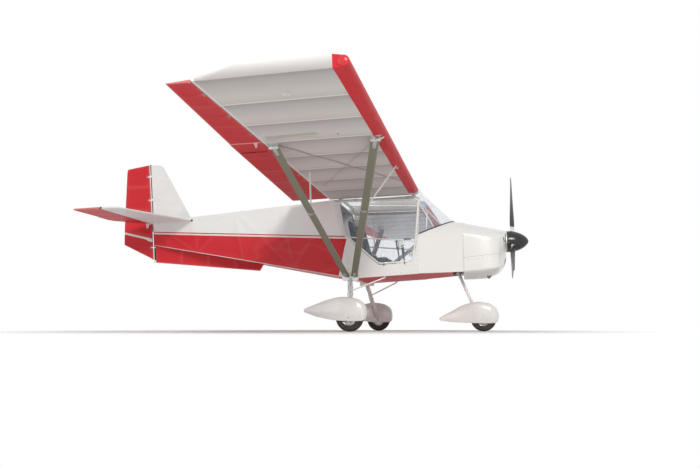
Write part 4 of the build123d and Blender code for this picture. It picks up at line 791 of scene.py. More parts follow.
def wing_profile(count):
    """The wing's section as (run, rise), how much each point sags and whether it is underneath."""
    nose = arc_through((0.045, -0.04), (0, 0), (0.045, 0.048), count // 4)
    top = arc_through((0.045, 0.048), (0.42, 0.098), (1.143, 0.012), count // 2)
    low = np.linspace((1.143, -0.012), (0.045, -0.04), count // 2)
    share = np.linspace(0, 1, count // 2)
    sag = np.sin(np.pi * share) ** 0.5
    loop = np.concatenate([nose[:-1], top, low[:-1]])
    weight = np.concatenate([np.zeros(len(nose) - 1), -sag, sag[:-1]])
    below = np.concatenate([np.linspace(1, 0, len(nose) - 1), np.zeros(len(top)), np.ones(len(low) - 1)])
    return loop, weight, below


def hinge_outs(span):
    """Three hinge stations, evenly spaced inside a span of the wing."""
    step = (span[1] - span[0]) / 3
    return [span[0] + step * (i + 0.5) for i in range(3)]


def add_tongue(form, place, ways, reach, slot=1):
    """Hinge tongue with its pin: ways are aft, along the hinge line and across."""
    line = ways[1]
    form.box((-reach, -0.004, -0.0075), (0.0, 0.004, 0.0075), slot, 0.001, place, ways)
    form.peg(place, 0.004 * line, 0.01, 24, slot, 0.08)
    form.peg(place, 0.022 * line, 0.005, 16, 2)
    form.rod(place - 0.0215 * line, place - 0.0165 * line, 0.0062, 6, 2, 0.1)


def add_edges(form, pitch, bays):
    """The rear spar's tube with a lacing clip at each rib, the nose tube's cap and the tip's tape."""
    tube_run = MAIN_CHORD - 0.0125
    form.tube(wing_place(tube_run, 0.0, np.linspace(0.001, WING_SPAN + 0.004, 60)), 0.0138, 20, 3)
    outs = pitch * np.arange(1, bays + 1) - 0.012
    clips = np.concatenate([wing_place(tube_run - 0.004, sign * 0.0145, outs) for sign in (-1, 1)])
    ways = np.repeat([-RISE_WAY, RISE_WAY], len(outs), axis=0)
    form.studs(clips, ways, 0.0085, 0.0035, 8, 3)
    form.studs(wing_place(tube_run - 0.04, underside(tube_run - 0.04) - 0.001, outs), -RISE_WAY, 0.0045,
        0.002, 6, 2)
    angle = np.linspace(0, np.pi / 2, 7)
    cap = np.stack([WING_SPAN - 0.0015 + 0.02 * np.sin(angle), 0.0435 * np.cos(angle) + 1e-4], 1)
    form.spun(np.concatenate([[[WING_SPAN - 0.004, 0.0435]], cap]), wing_place(0.0445, 0.004, 0.0), SPAN_WAY,
        32, 4)
    ring_out, ring_run = 3.86, 0.56
    centre = wing_place(ring_run, underside(ring_run) - 0.0095, ring_out)
    form.spun([(0.0, 0.03), (0.003, 0.028), (0.003, 0.024), (0.0, 0.022)], centre, -RISE_WAY, 32, 3, True)


def add_bracket(form, run):
    """Sloping bracket with its bolts, and at the front strut the drilled tie-down lug."""
    under = underside(run)
    foot = wing_place(run, under, STRUT_OUT)
    form.box((-0.046, -0.015, -0.051), (0.046, 0.015, 0.006), 1, 0.006, foot, WING_WAYS)
    for shift in (-0.028, 0.0, 0.028):
        low = wing_place(run + shift, under - 0.03, STRUT_OUT)
        half = 0.02 if shift == 0.0 else 0.0175
        form.peg(low, half * SPAN_WAY, 0.007 if shift == 0.0 else 0.0045, 6, 2)
    form.box((-0.058, -0.027, -0.0025), (0.058, 0.027, 0.0025), 1, 0.001, foot, WING_WAYS)
    corners = [wing_place(run + x, under - 0.0025, STRUT_OUT + y) for x in (-0.05, 0.05)
        for y in (-0.021, 0.021)]
    form.studs(corners, -RISE_WAY, 0.0045, 0.003, 6, 2)
    if run > 0.5:
        return
    hole = wing_place(run, under - 0.0225, STRUT_OUT + 0.035)
    form.spun([(-0.005, 0.006), (-0.005, 0.019), (0.005, 0.019), (0.005, 0.006)], hole, CHORD_WAY, 32, 1,
        True)
    form.box((-0.005, 0.012, -0.036), (0.005, 0.017, -0.004), 1, 0.001, foot, WING_WAYS)


def make_wings(context):
    """Builds the wings' covering, hinges and strut brackets.

    The section is swept along the span; between ribs the cloth sags by
    sag * |sin(pi * out / pitch)| ** 0.6, most in the middle of its run and nowhere on the tubes.
    """
    covering = context.scene.aircraft_covering
    bays = round(WING_SPAN / covering.rib_pitch)
    pitch = WING_SPAN / bays
    out = np.linspace(0, WING_SPAN, bays * covering.stations + 1)
    loop, weight, below = wing_profile(112)
    dip = covering.sag * np.abs(np.sin(np.pi * out / pitch)) ** 0.6
    rise = loop[None, :, 1] + dip[:, None] * weight[None, :]
    run = loop[None, :, 0] + 0 * rise
    form = Form().sheet(wing_place(run, rise, out[:, None] + 0 * rise), run=run, out=out[:, None] + 0 * rise,
        under=below[None, :] + 0 * rise)
    add_edges(form, pitch, bays)
    for hinge_out in hinge_outs(FLAP_SPAN) + hinge_outs(AILERON_SPAN):
        add_tongue(form, wing_place(HINGE_RUN, 0.0, hinge_out), WING_WAYS, 0.033)
    for strut_run in (FRONT_STRUT_RUN, REAR_STRUT_RUN):
        add_bracket(form, strut_run)
    paints = "wing_fabric bare_metal steel white_tube red_enamel black_plastic"
    for name, made in (("wing_cover_left", form), ("wing_cover_right", form.mirrored())):
        made.build(name, "airframe", paints, ["wing_" + name.split("_")[-1]], "white_fabric")


class AIRCRAFT_OT_wings(bpy.types.Operator):
    """Builds the wings' covering, hinges and strut brackets."""

    bl_idname = "aircraft.wings"
    bl_label = "Wing covering"

    def execute(self, context):
        make_wings(context)
        return {"FINISHED"}


def polyline_at(table, share):
    """Points of a flat polyline whose rows are (share, a, b)."""
    table = np.asarray(table, float)
    return np.stack([np.interp(share, table[:, 0], table[:, c]) for c in (1, 2)], -1)


def spread_shares(length, step, edges=()):
    """Shares along a length, evenly spaced and closer together at its ends and at the edges given."""
    near = np.array([-0.02, -0.012, -0.007, -0.0035, -0.0012, 0.0, 0.0012, 0.0035, 0.007, 0.012, 0.02])
    even = np.linspace(0, length, int(length / step) + 2)
    close = np.concatenate([[e + near, [e - 1e-5, e + 1e-5]][k] for e in (0.0, length, *edges)
        for k in (0, 1)])
    return np.unique(np.clip(np.concatenate([even, close]), 0, length)) / length


def stretched(form, near, far, halves, bones, place, shares, columns, dish):
    """Cloth over a flat frame, as one closed form.

    Rows run from the near outline to the far one with cosine spacing. The half thickness goes
    from one edge's value to the other's, less dish * (1 - exp(-(d / 0.045) ** 2)), where d is the
    distance to the nearest tube, and closes over a quarter circle at the outline.
    """
    a, b = polyline_at(near, shares), polyline_at(far, shares)
    across = (1 - np.cos(np.pi * np.linspace(0, 1, columns))) / 2
    flat = a[:, None] + (b - a)[:, None] * across[None, :, None]
    rim = [*zip(a[:-1], a[1:]), *zip(b[:-1], b[1:]), (a[0], b[0]), (a[-1], b[-1])]
    rim = [line for line in rim if np.hypot(*(line[1] - line[0])) > 1e-6]
    depth = distance_to_lines(flat, rim)
    tube_gap = np.minimum(distance_to_lines(flat, bones), depth)
    over = np.exp(-(tube_gap / 0.045) ** 2)
    full = halves[0] + (halves[1] - halves[0]) * across[None, :] + 0 * depth
    body = full - np.minimum(dish, 0.6 * full) * (1 - over)
    thick = body * np.sqrt(1 - (1 - np.clip(depth / full, 0, 1)) ** 2)
    top, low = place(flat, thick), place(flat, -thick)
    grid = np.concatenate([top, low[:, -2:0:-1]], axis=1)
    twice = [np.concatenate([v, v[:, -2:0:-1]], axis=1) for v in (np.exp(-(tube_gap / 0.02) ** 2), depth)]
    return form.sheet(grid, ends=False, bone=twice[0], rim=twice[1])


def slotted(start, end, hinge, nose, slots, ahead=0.015, half_slot=0.012, back=0.016):
    """Near outline of a moving surface: its nose ahead of the hinge line, stepped back at each slot.

    hinge gives a point of the hinge line for a distance along it and nose the way ahead of it.
    """
    rows = [(start, ahead)]
    for middle in slots:
        rows += [(middle - half_slot - 1e-5, ahead), (middle - half_slot + 1e-5, -back),
            (middle + half_slot - 1e-5, -back), (middle + half_slot + 1e-5, ahead)]
    rows.append((end, ahead))
    return [((place - start) / (end - start), *(hinge(place) + nose * reach)) for place, reach in rows]


def add_fittings(form, kind, span, ends, hinges):
    """Nose tubes between the slots, a pale trailing edge, end plates, bolts and the horn."""
    start, end = span
    cuts = [start + 0.004, *[h + s for h in hinges for s in (-0.0125, 0.0125)], end - 0.004]
    for low, high in zip(cuts[::2], cuts[1::2]):
        form.rod(wing_place(HINGE_RUN, 0, low), wing_place(HINGE_RUN, 0, high), 0.0135, 20, 2, 0.05)
    for h in hinges:
        for side in (-1, 1):
            spot = wing_place(HINGE_RUN + 0.006, -0.015, h + side * 0.026)
            form.studs([spot], -RISE_WAY, 0.0045, 0.0025, 6, 2)
    edge = np.linspace(ends[0], ends[1], 30)
    form.tube(wing_place(edge[:, 0] - 0.0015, 0.0, edge[:, 1]), 0.0036, 10, 0)
    if kind == "aileron":
        run = np.linspace(HINGE_RUN - 0.004, ends[0][0] - 0.004, 14)
        half = np.interp(run, [run[0], run[-1]], [0.0165, 0.0045])
        top = np.stack([wing_place(run, half, start + 0.0004), wing_place(run, half, start + 0.003)], 1)
        low = np.stack([wing_place(run, -half, start + 0.0004), wing_place(run, -half, start + 0.003)], 1)
        form.slab(top, low, 1)
        horn = [(0.02, -0.012), (0.062, -0.012), (0.04, -0.064), (0.028, -0.064)]
        grid = np.array([[wing_place(HINGE_RUN + r, z, start + y) for r, z in horn]
            for y in (0.0035, 0.0075)])
        form.sheet(grid, slot=1)
        form.rod(wing_place(HINGE_RUN + 0.034, -0.056, start + 0.001),
            wing_place(HINGE_RUN + 0.034, -0.056, start + 0.01), 0.005, 8, 2)
    else:
        seam = end - 0.3
        tail = ends[0] + (ends[1] - ends[0]) * (seam - start) / (end - start)
        run = np.linspace(HINGE_RUN + 0.03, tail[0] - 0.015, 18)
        half = np.interp(run, [HINGE_RUN, tail[0]], [0.015, 0.004]) + 0.0004
        for sign in (-1, 1):
            face = np.stack([wing_place(run, sign * half, seam + s + 0.006 * np.sin(60 * run))
                for s in (-0.004, 0.004)], 1)
            inner = np.stack([wing_place(run, sign * (half - 0.003), seam + s) for s in (-0.004, 0.004)], 1)
            # Dark strip across the flap: painted shade in the gap at its seam
            form.slab(face, inner, 3)


def make_flaps(context):
    """Builds the flaps and ailerons: cloth over a nose tube, a trailing tube and a rib at each end."""
    for kind, span, chords in (("flap", FLAP_SPAN, (0.467, 0.318)),
            ("aileron", AILERON_SPAN, (0.312, 0.198))):
        start, end = span
        length = end - start
        hinges = hinge_outs(span)
        ends = [np.array([MAIN_CHORD + chord, out]) for chord, out in zip(chords, span)]
        near = slotted(start, end, lambda out: np.array([HINGE_RUN, out]), np.array([-1.0, 0.0]), hinges)
        far = [(0.0, *ends[0]), (1.0, *ends[1])]
        ribs = np.linspace(start, end, 4 if kind == "aileron" else 6)[1:-1]
        bones = [((HINGE_RUN, out), (ends[0][0] + (ends[1][0] - ends[0][0]) * (out - start) / length, out))
            for out in ribs]
        edges = [h + s - start for h in hinges for s in (-0.012, 0.012)]
        form = Form()
        stretched(form, near, far, (0.0155, 0.0032), bones, lambda flat, lift: wing_place(flat[..., 0], lift,
            flat[..., 1]), spread_shares(length, 0.03, edges), 30, 0.003)
        add_fittings(form, kind, span, ends, hinges)
        for side, made in (("left", form), ("right", form.mirrored())):
            made.build(f"{kind}_cover_{side}", f"{kind}_{side}", "red_fabric white_tube steel dark_opening",
                [f"{kind}_{side}"], "red_fabric", merge=True)


class AIRCRAFT_OT_flaps(bpy.types.Operator):
    """Builds the flaps and ailerons: cloth over a nose tube, a trailing tube and a rib at each end."""

    bl_idname = "aircraft.flaps"
    bl_label = "Flaps and ailerons"

    def execute(self, context):
        make_flaps(context)
        return {"FINISHED"}


# Tail


def rudder_line_x(z):
    """Place of the rudder's hinge line at a height."""
    return RUDDER_LOW[0] + (z - RUDDER_LOW[2]) * np.tan(RUDDER_RAKE)


def post_x(z):
    """Place of the tail post at a height."""
    return rudder_line_x(z) + 0.038 / np.cos(RUDDER_RAKE)


def fuselage_side_y(x):
    """Half width of the rear fuselage along its top edge."""
    return 0.045 + (CABIN_HALF - 0.045) * (x + 2.339) / (SEAM_HIGH[0] + 2.339)


def upright(flat, lift):
    """Places (x, z) of an upright plate, its thickness across the aircraft."""
    return np.stack([flat[..., 0], lift, flat[..., 1]], -1)


def level(flat, lift):
    """Places (x, y) of a level plate at the stabiliser's height."""
    return np.stack([flat[..., 0], flat[..., 1], STAB_Z + lift], -1)


RUDDER_AXIS = np.array([np.sin(RUDDER_RAKE), 0.0, np.cos(RUDDER_RAKE)])
RUDDER_AFT = np.array([-np.cos(RUDDER_RAKE), 0.0, np.sin(RUDDER_RAKE)])
RUDDER_HINGE_ZS = [RUDDER_LOW[2] + (RUDDER_HIGH[2] - RUDDER_LOW[2]) * (i + 0.5) / 4 for i in range(4)]
ELEVATOR_HINGE_YS = [0.062 + (1.345 - 0.062) * (i + 0.5) / 3 for i in range(3)]


def make_fin(dish):
    """Fin: cloth stretched from its bent nose tube to the post, with the post and its hinge collars."""
    near = [(0, -1.775, 1.548), (0.93, -2.216, 2.29), (0.96, -2.24, 2.322), (0.985, -2.268, 2.34),
        (1, -2.3, 2.346)]
    far = [(0, post_x(1.521), 1.521), (1, post_x(2.355), 2.355)]
    bones = [((post_x(2.19), 2.19), (-2.09, 2.08)), ((post_x(1.84), 1.84), (-1.93, 1.8)),
        ((post_x(1.84), 1.84), (-2.09, 2.08)), ((post_x(1.53), 1.53), (-1.93, 1.8))]
    form = Form()
    stretched(form, near, far, (0.0125, 0.0125), bones, upright, spread_shares(0.83, 0.02), 40, dish)
    # The post is drawn in black: painted shade in the gap between fin and rudder
    form.rod((post_x(0.952), 0, 0.952), (post_x(2.353), 0, 2.353), 0.013, 24, 4, 0.1)
    form.rod((post_x(0.951), 0, 0.951), (post_x(0.985), 0, 0.985), 0.0165, 24, 1, 0.15)
    ways = np.array([RUDDER_AFT, RUDDER_AXIS, Y_WAY])
    for z in RUDDER_HINGE_ZS:
        place = np.array([rudder_line_x(z), 0.0, z])
        add_tongue(form, place, ways, 0.03, 2)
        collar = place - 0.038 * RUDDER_AFT
        form.peg(collar, 0.013 * RUDDER_AXIS, 0.0155, 24, 2, 0.1)
        form.peg(collar, 0.021 * Y_WAY, 0.004, 6, 3)
    form.studs([(post_x(2.35) + 0.001, 0, 2.3525)], RUDDER_AXIS, 0.0125, 0.006, 20, 4)
    form.build("fin_cover", "airframe", "fin_fabric white_tube bare_metal steel black_plastic", ["fin"],
        "white_fabric", merge=True)


def make_rudder(dish):
    """Rudder: stretched cloth, its half thickness going from 0.0132 at the hinge to 0.010 at the back."""
    length = float(np.linalg.norm(RUDDER_HIGH - RUDDER_LOW))
    axis = RUDDER_AXIS[[0, 2]]
    hinges = [(z - RUDDER_LOW[2]) / np.cos(RUDDER_RAKE) for z in RUDDER_HINGE_ZS]
    near = slotted(0.0, length, lambda s: RUDDER_LOW[[0, 2]] + s * axis, -RUDDER_AFT[[0, 2]], hinges, 0.013)
    far = [(0, -2.785, 1.209), (0.012, -2.79, 1.222), (0.225, -2.796, 1.457), (0.965, -2.79, 2.265),
        (0.988, -2.785, 2.295), (1, -2.768, 2.308)]
    bones = [((rudder_line_x(z), z), (-2.79, z + dz)) for z, dz in ((1.33, 0.06), (1.7, 0.03), (2.04, 0.0))]
    form = Form()
    edges = [h + s for h in hinges for s in (-0.012, 0.012)]
    stretched(form, near, far, (0.0132, 0.01), bones, upright, spread_shares(length, 0.025, edges), 34, dish)
    add_nose_rods(form, lambda s: RUDDER_LOW + s * RUDDER_AXIS, length, hinges)
    for side in (-1, 1):
        spots = [RUDDER_LOW + h * RUDDER_AXIS + RUDDER_AFT * 0.03 + Y_WAY * side * 0.0125 for h in hinges]
        form.studs(spots, side * Y_WAY, 0.0042, 0.0022, 6, 1)
    form.build("rudder_cover", "rudder", "rudder_fabric steel", ["rudder"], "red_fabric", merge=True)


def add_nose_rods(form, place, length, hinges):
    """Nose tube between the hinge slots."""
    cuts = [0.004, *[h + s for h in hinges for s in (-0.0125, 0.0125)], length - 0.004]
    for low, high in zip(cuts[::2], cuts[1::2]):
        form.rod(place(low), place(high), 0.0122, 20, 0, 0.05)


def make_stabiliser(dish):
    """Stabiliser: cloth stretched from its swept nose to a straight rear tube."""
    near = [(0, -1.7, fuselage_side_y(-1.7) - 0.01), (0.955, -2.142, 1.35), (0.975, -2.165, 1.368),
        (0.99, -2.19, 1.38), (1, -2.222, 1.387)]
    far = [(0, -2.366, 0.028), (1, -2.366, 1.387)]
    bones = [((-1.76, 0.3), (-2.366, 0.3)), ((-1.89, 0.66), (-2.366, 0.66)), ((-2.03, 1.02), (-2.366, 1.02)),
        ((-1.76, 0.3), (-2.366, 0.66))]
    form = Form()
    stretched(form, near, far, (0.0125, 0.0125), bones, level, spread_shares(1.3, 0.03), 34, dish)
    form.rod((-2.3535, 0.03, STAB_Z), (-2.3535, 1.386, STAB_Z), 0.0132, 20, 1, 0.1)
    form.studs([(-2.3535, 1.384, STAB_Z)], Y_WAY, 0.013, 0.009, 20, 4)
    nose = np.array([-1.7, fuselage_side_y(-1.7) + 0.004, STAB_Z])
    form.studs([nose], np.array([0.93, 0.0, 0.0]) + 0.36 * Y_WAY, 0.0128, 0.014, 20, 4)
    for y in ELEVATOR_HINGE_YS:
        add_tongue(form, np.array([ELEVATOR_HINGE_X, y, STAB_Z]), np.array([-X_WAY, Y_WAY, Z_WAY]), 0.026, 2)
        for s in (-1, 1):
            form.studs([(-2.352, y + 0.018 * s, STAB_Z - 0.0128)], -Z_WAY, 0.0042, 0.0025, 6, 3)
    form.both().build("stabiliser_cover", "airframe", "fin_fabric white_tube bare_metal steel black_plastic",
        ["stabiliser"], "white_fabric", merge=True)


def make_elevator(dish):
    """Elevator: stretched cloth, its half thickness going from 0.0132 to 0.0095, with its horn."""
    start, end = 0.062, 1.387
    near = slotted(start, end, lambda y: np.array([ELEVATOR_HINGE_X, y]), np.array([1.0, 0.0]),
        ELEVATOR_HINGE_YS, 0.013)
    far = [(0, -2.432, 0.066), (0.25, -2.76, 0.386), (0.262, -2.765, 0.402), (0.985, -2.765, 1.325),
        (1, -2.745, 1.347)]
    bones = [((ELEVATOR_HINGE_X, y), (-2.765, y)) for y in (0.42, 0.73, 1.04)]
    edges = [y + s - start for y in ELEVATOR_HINGE_YS for s in (-0.012, 0.012)]
    form = Form()
    stretched(form, near, far, (0.0132, 0.0095), bones, level, spread_shares(end - start, 0.025, edges), 32,
        dish)
    add_nose_rods(form, lambda s: np.array([ELEVATOR_HINGE_X, start + s, STAB_Z]), end - start,
        [y - start for y in ELEVATOR_HINGE_YS])
    horn = [(-2.378, -0.004), (-2.432, -0.004), (-2.42, -0.076), (-2.404, -0.082), (-2.394, -0.074)]
    plate = np.array([[(x, y, STAB_Z + z) for x, z in horn] for y in (0.07, 0.075)])
    form.sheet(plate, slot=1)
    form.rod((-2.407, 0.067, STAB_Z - 0.066), (-2.407, 0.079, STAB_Z - 0.066), 0.005, 8, 2)
    form.both().build("elevator_cover", "elevator", "red_fabric white_tube steel", ["elevator"], "red_fabric",
        merge=True)


def make_ventral_fin(dish):
    """Ventral fin: cloth between the fuselage's lower line and a straight tube below it."""
    slope = (TAIL_LOW_Z - SEAM_LOW[2]) / (SEAM_LOW[0] + 2.3089)
    top = [(x, SEAM_LOW[2] + (SEAM_LOW[0] - x) * slope + 0.005) for x in (-0.704, -2.309)]
    near = [(0, -0.756, 0.814), (1, rudder_line_x(0.953) + 0.0515, 0.953)]
    far = [(0, *top[0]), (1, *top[1])]
    bones = [((x, 0.7), (x - 0.02, 1.25)) for x in (-1.1, -1.5, -1.9)]
    form = Form()
    stretched(form, near, far, (0.01, 0.01), bones, upright, spread_shares(1.55, 0.03), 26, dish)
    low = np.linspace(near[0][1:], near[1][1:], 40)
    form.tube(np.stack([low[:, 0], 0 * low[:, 0], low[:, 1] + 0.003], 1), 0.0058, 12, 0)
    form.studs([(near[1][1] - 0.006, 0, 0.958)], np.array([-0.5, 0, -0.87]), 0.0125, 0.012, 12, 1)
    form.build("ventral_fin_cover", "airframe", "red_fabric white_tube", ["ventral_fin"], "red_fabric",
        merge=True)


class AIRCRAFT_OT_tail(bpy.types.Operator):
    """Builds the fin, rudder, stabiliser, elevator and ventral fin: cloth over flat tube frames."""

    bl_idname = "aircraft.tail"
    bl_label = "Tail surfaces"

    def execute(self, context):
        dish = context.scene.aircraft_covering.dish
        make_fin(dish)
        make_rudder(dish)
        make_stabiliser(dish)
        make_elevator(dish)
        make_ventral_fin(dish)
        return {"FINISHED"}


# Fuselage


def box_loop(half, height, crown, cut, inset=0.0):
    """Section of the rear fuselage as (y, h): flat bottom, upright sides, crowned top."""
    half, low, high = half - inset, inset, height - inset
    runs = [[(-half, low), (half, low)], [(half, low), (half, high)],
        arc_through((half, high), (0, high + crown), (-half, high), 40), [(-half, high), (-half, low)]]
    return joined(runs, (26, 32, 30, 32), (cut,) * 4, 5)


def cloth_relief(loop, share, height, tail_height):
    """How far the cloth dips at each place, and how close it is to a tube."""
    half = CABIN_HALF
    on_side = np.abs(loop[:, 0]) > half - 0.004
    around = np.where(on_side, loop[:, 1] / height, (loop[:, 0] + half) / (2 * half))
    width = np.where(on_side, height, 2 * half) * (1 - share[:, None]) + np.where(on_side, tail_height,
        0.09) * share[:, None]
    length = 2.93
    flat = np.stack([share[:, None] * length + 0 * width, around[None] * width], -1)
    frames = (0.0, 0.27, 0.52, 0.76, 1.0)
    sizes = [height + (tail_height - height) * f for f in frames]
    lines = [((f * length, 0), (f * length, 1.2)) for f in frames]
    for i in range(4):
        ends = ((0.0, sizes[i + 1]) if i % 2 else (sizes[i], 0.0))
        lines.append(((frames[i] * length, ends[0]), (frames[i + 1] * length, ends[1])))
    edge = np.minimum(around, 1 - around)[None] * width
    gap = np.minimum(distance_to_lines(flat, lines), edge)
    dip = -0.006 * (1 - np.exp(-(gap / 0.055) ** 2)) * np.clip(width / 0.5, 0.3, 1)
    x, w = flat[..., 0] + 0.02, flat[..., 1] - 0.03
    reach, turn = np.hypot(x, w), np.arctan2(w, x)
    folds = 0.0016 * np.sin(15 * turn) * np.exp(-((reach - 0.26) / 0.2) ** 2)
    tail = 0.001 * np.sin(2 * np.pi * w / 0.055 + 5 * x) * np.exp(-((x - 2.62) / 0.2) ** 2)
    long_fold = 0.0022 * np.exp(-((w - 0.1 - 0.02 * np.sin(4 * x)) / 0.016) ** 2) * np.sin(1.1 * x) ** 2
    bone = np.exp(-(gap / 0.016) ** 2)
    return dip + (folds + tail + long_fold) * on_side[None], bone


def add_cabin_trim():
    """Screws round the side panels, a rubbing strip on the door's sill and the lower edges."""
    form = Form()
    lows = np.linspace([0.66, CABIN_HALF, 0.68], [1.44, CABIN_HALF, 0.722], 13)
    front = np.linspace([1.448, CABIN_HALF, 0.74], [1.448, CABIN_HALF, 1.17], 8)
    rear = np.linspace([0.475, CABIN_HALF, 1.42], [0.44, CABIN_HALF, 1.58], 4)
    form.studs(np.concatenate([lows, front, rear]), Y_WAY, 0.0045, 0.0024, 8, 0)
    edge = np.linspace([0.64, CABIN_HALF - 0.003, 0.6585], [1.455, CABIN_HALF - 0.003, 0.7052], 30)
    form.tube(edge, 0.0055, 10, 1)
    form.tube(np.linspace([0.61, CABIN_HALF + 0.001, 0.76], [0.436, CABIN_HALF + 0.001, 1.52], 30), 0.003, 8,
        1)
    form.both().build("cabin_trim", "airframe", "steel fuselage_fabric", (), "bare_metal")


def make_fuselage(context):
    """Builds the rear fuselage's cloth over its tubes, and the strips and screws of the cabin sides.

    The covering joins the cabin's rear frame to the tail's by straight lines. It dips by
    0.006 * (1 - exp(-(d / 0.055) ** 2)) between tubes, where d is the distance to the nearest,
    and folds of a few sines run from the strut's foot and along the tail.
    """
    height = float(np.linalg.norm(SEAM_HIGH - SEAM_LOW))
    tail_height = 0.335 / np.cos(RUDDER_RAKE)
    up_front = (SEAM_HIGH - SEAM_LOW) / height
    tail_origin = np.array([rudder_line_x(TAIL_LOW_Z) + 0.0515, 0.0, TAIL_LOW_Z])

    def place(loops, share, lift=0.0):
        (front, back), share = loops, share[:, None, None]
        ends = [SEAM_LOW - 0.0004 * X_WAY + front[:, :1] * Y_WAY + front[:, 1:] * up_front,
            tail_origin + back[:, :1] * Y_WAY + back[:, 1:] * RUDDER_AXIS]
        along = np.roll(front, -1, 0) - np.roll(front, 1, 0)
        out = unit(along[:, 1:] * Y_WAY - along[:, :1] * up_front)
        return ends[0] * (1 - share) + ends[1] * share + out * np.asarray(lift)[..., None]

    outer = box_loop(CABIN_HALF, height, 0.025, 0.018), box_loop(0.045, tail_height, 0.008, 0.009)
    inner = box_loop(CABIN_HALF, height, 0.025, 0.01, 0.012), box_loop(0.045, tail_height, 0.008, 0.005,
        0.012)
    share = np.linspace(0, 1, 210)
    dip, bone = cloth_relief(outer[0], share, height, tail_height)
    skin = place(outer, share, dip)
    lining = place(inner, np.linspace(1, 0, 10))
    grid = np.concatenate([skin, lining])
    form = Form().sheet(grid, hoop=True, bone=np.concatenate([bone, np.zeros(lining.shape[:2])]))
    for side in (-1, 1):
        # White welt along the lower edge: partly real trim, partly a painted highlight on the rounded edge of
        # the cloth
        welt_and_highlight = np.linspace(SEAM_LOW + (-0.02, side * (CABIN_HALF - 0.0035), 0.0042),
            tail_origin + (0.01, side * 0.042, 0.0028), 60)
        form.tube(welt_and_highlight, 0.0042, 10, 2)
        seam = SEAM_LOW + (SEAM_HIGH - SEAM_LOW) * np.linspace(0.012, 0.985, 30)[:, None]
        face = seam + Y_WAY * side * (CABIN_HALF + 0.0012)
        strip = np.stack([face + 0.01 * X_WAY, face - 0.014 * X_WAY], 1)
        form.slab(strip, strip - Y_WAY * side * 0.003)
        spots = seam[1:-1:2] - 0.004 * X_WAY + Y_WAY * side * (CABIN_HALF + 0.001)
        form.studs(spots, side * Y_WAY, 0.0045, 0.0022, 8, 1)
    form.build("fuselage_cover", "airframe", "fuselage_fabric steel white_tube", ["rear_fuselage"],
        "white_fabric")
    add_cabin_trim()


class AIRCRAFT_OT_fuselage(bpy.types.Operator):
    """Builds the rear fuselage's cloth over its tubes, and the strips and screws of the cabin sides."""

    bl_idname = "aircraft.fuselage"
    bl_label = "Fuselage covering"

    def execute(self, context):
        make_fuselage(context)
        return {"FINISHED"}


# Cowl


COWL_STATIONS = [(1.9907, 0.33, 0.738, 0.655, 0.3, 1.23, 1.386),
    (2.22, 0.322, 0.755, 0.662, 0.286, 1.2, 1.336), (2.41, 0.288, 0.782, 0.722, 0.246, 1.165, 1.292),
    (2.48, 0.205, 0.845, 0.8, 0.18, 1.15, 1.278), (2.512, 0.12, 0.925, 0.89, 0.118, 1.15, 1.268)]


def cowl_section(row, wall=0.0):
    """Closed loop (y, z): a keel arc, two leaning sides and a crown arc, their corners rounded."""
    half_low, low, keel, half_high, high, top = row
    half_low, half_high = half_low - wall, half_high - wall
    low, keel, high, top = low + 0.5 * wall, keel + wall, high - 0.3 * wall, top - wall
    runs = [arc_through((-half_low, low), (0, keel), (half_low, low), 40),
        [(half_low, low), (half_high, high)], arc_through((half_high, high), (0, top), (-half_high, high),
        40), [(-half_high, high), (-half_low, low)]]
    cut = 0.05 * min(1.0, half_high / 0.25)
    return joined(runs, (26, 22, 30, 22), (cut * 0.4, cut * 0.4, cut * 0.9, cut * 0.9), 7)


def cowl_surface(wall=0.0):
    """Sections along smooth cubics through the stations, closing in to the shaft's hole by a sine."""
    at = np.concatenate([np.linspace(1.9907, 2.4, 26)[:-1], np.linspace(2.4, 2.512, 26)])
    rows = smooth_rows(COWL_STATIONS, at)
    grid = np.array([np.column_stack([np.full(len(loop), x), loop])
        for x, loop in zip(at, (cowl_section(row, wall) for row in rows))])
    last, hole = grid[-1], []
    angle = np.arctan2(last[:, 2] - PROP_AXIS_Z, last[:, 1])
    ring = np.column_stack([np.full(len(last), 2.5205 - wall), 0.045 * np.cos(angle),
        PROP_AXIS_Z + 0.045 * np.sin(angle)])
    for t in np.linspace(0, 1, 12)[1:]:
        row = last * (1 - t) + ring * t
        row[:, 0] = 2.512 - wall + 0.0085 * np.sin(t * np.pi / 2)
        hole.append(row)
    return np.concatenate([grid, hole])


def seated_row(near, side, spots):
    """Places (x, z) of one side, seated on the surface."""
    return near([(x, side * 0.42, z) for x, z in spots])


def add_opening(form, near, start, end, width, slot):
    """Slot with rounded ends and a lip round it; the dark pad inside it is painted shade."""
    start, end = np.asarray(start), np.asarray(end)
    way = unit(end - start)
    middle, half = (start + end) / 2, np.linalg.norm(end - start) / 2
    _, out = near([middle])
    across = np.cross(out[0], way)
    x, y = disc(9)
    grid = middle + x[..., None] * half * way + y[..., None] * width / 2 * across
    form.pad(near, grid, 0.0008, 0.002, slot)
    add_bead(form, *near(middle + circle(turns(48), half * way, width / 2 * across)), 0.0022)


def add_bead(form, place, out, radius):
    """Closed round bead along a loop of points."""
    across = np.cross(unit(np.roll(place, -1, 0) - np.roll(place, 1, 0)), out)
    form.sheet(place[:, None] + radius * circle(turns(8), out, across), hoop=True)


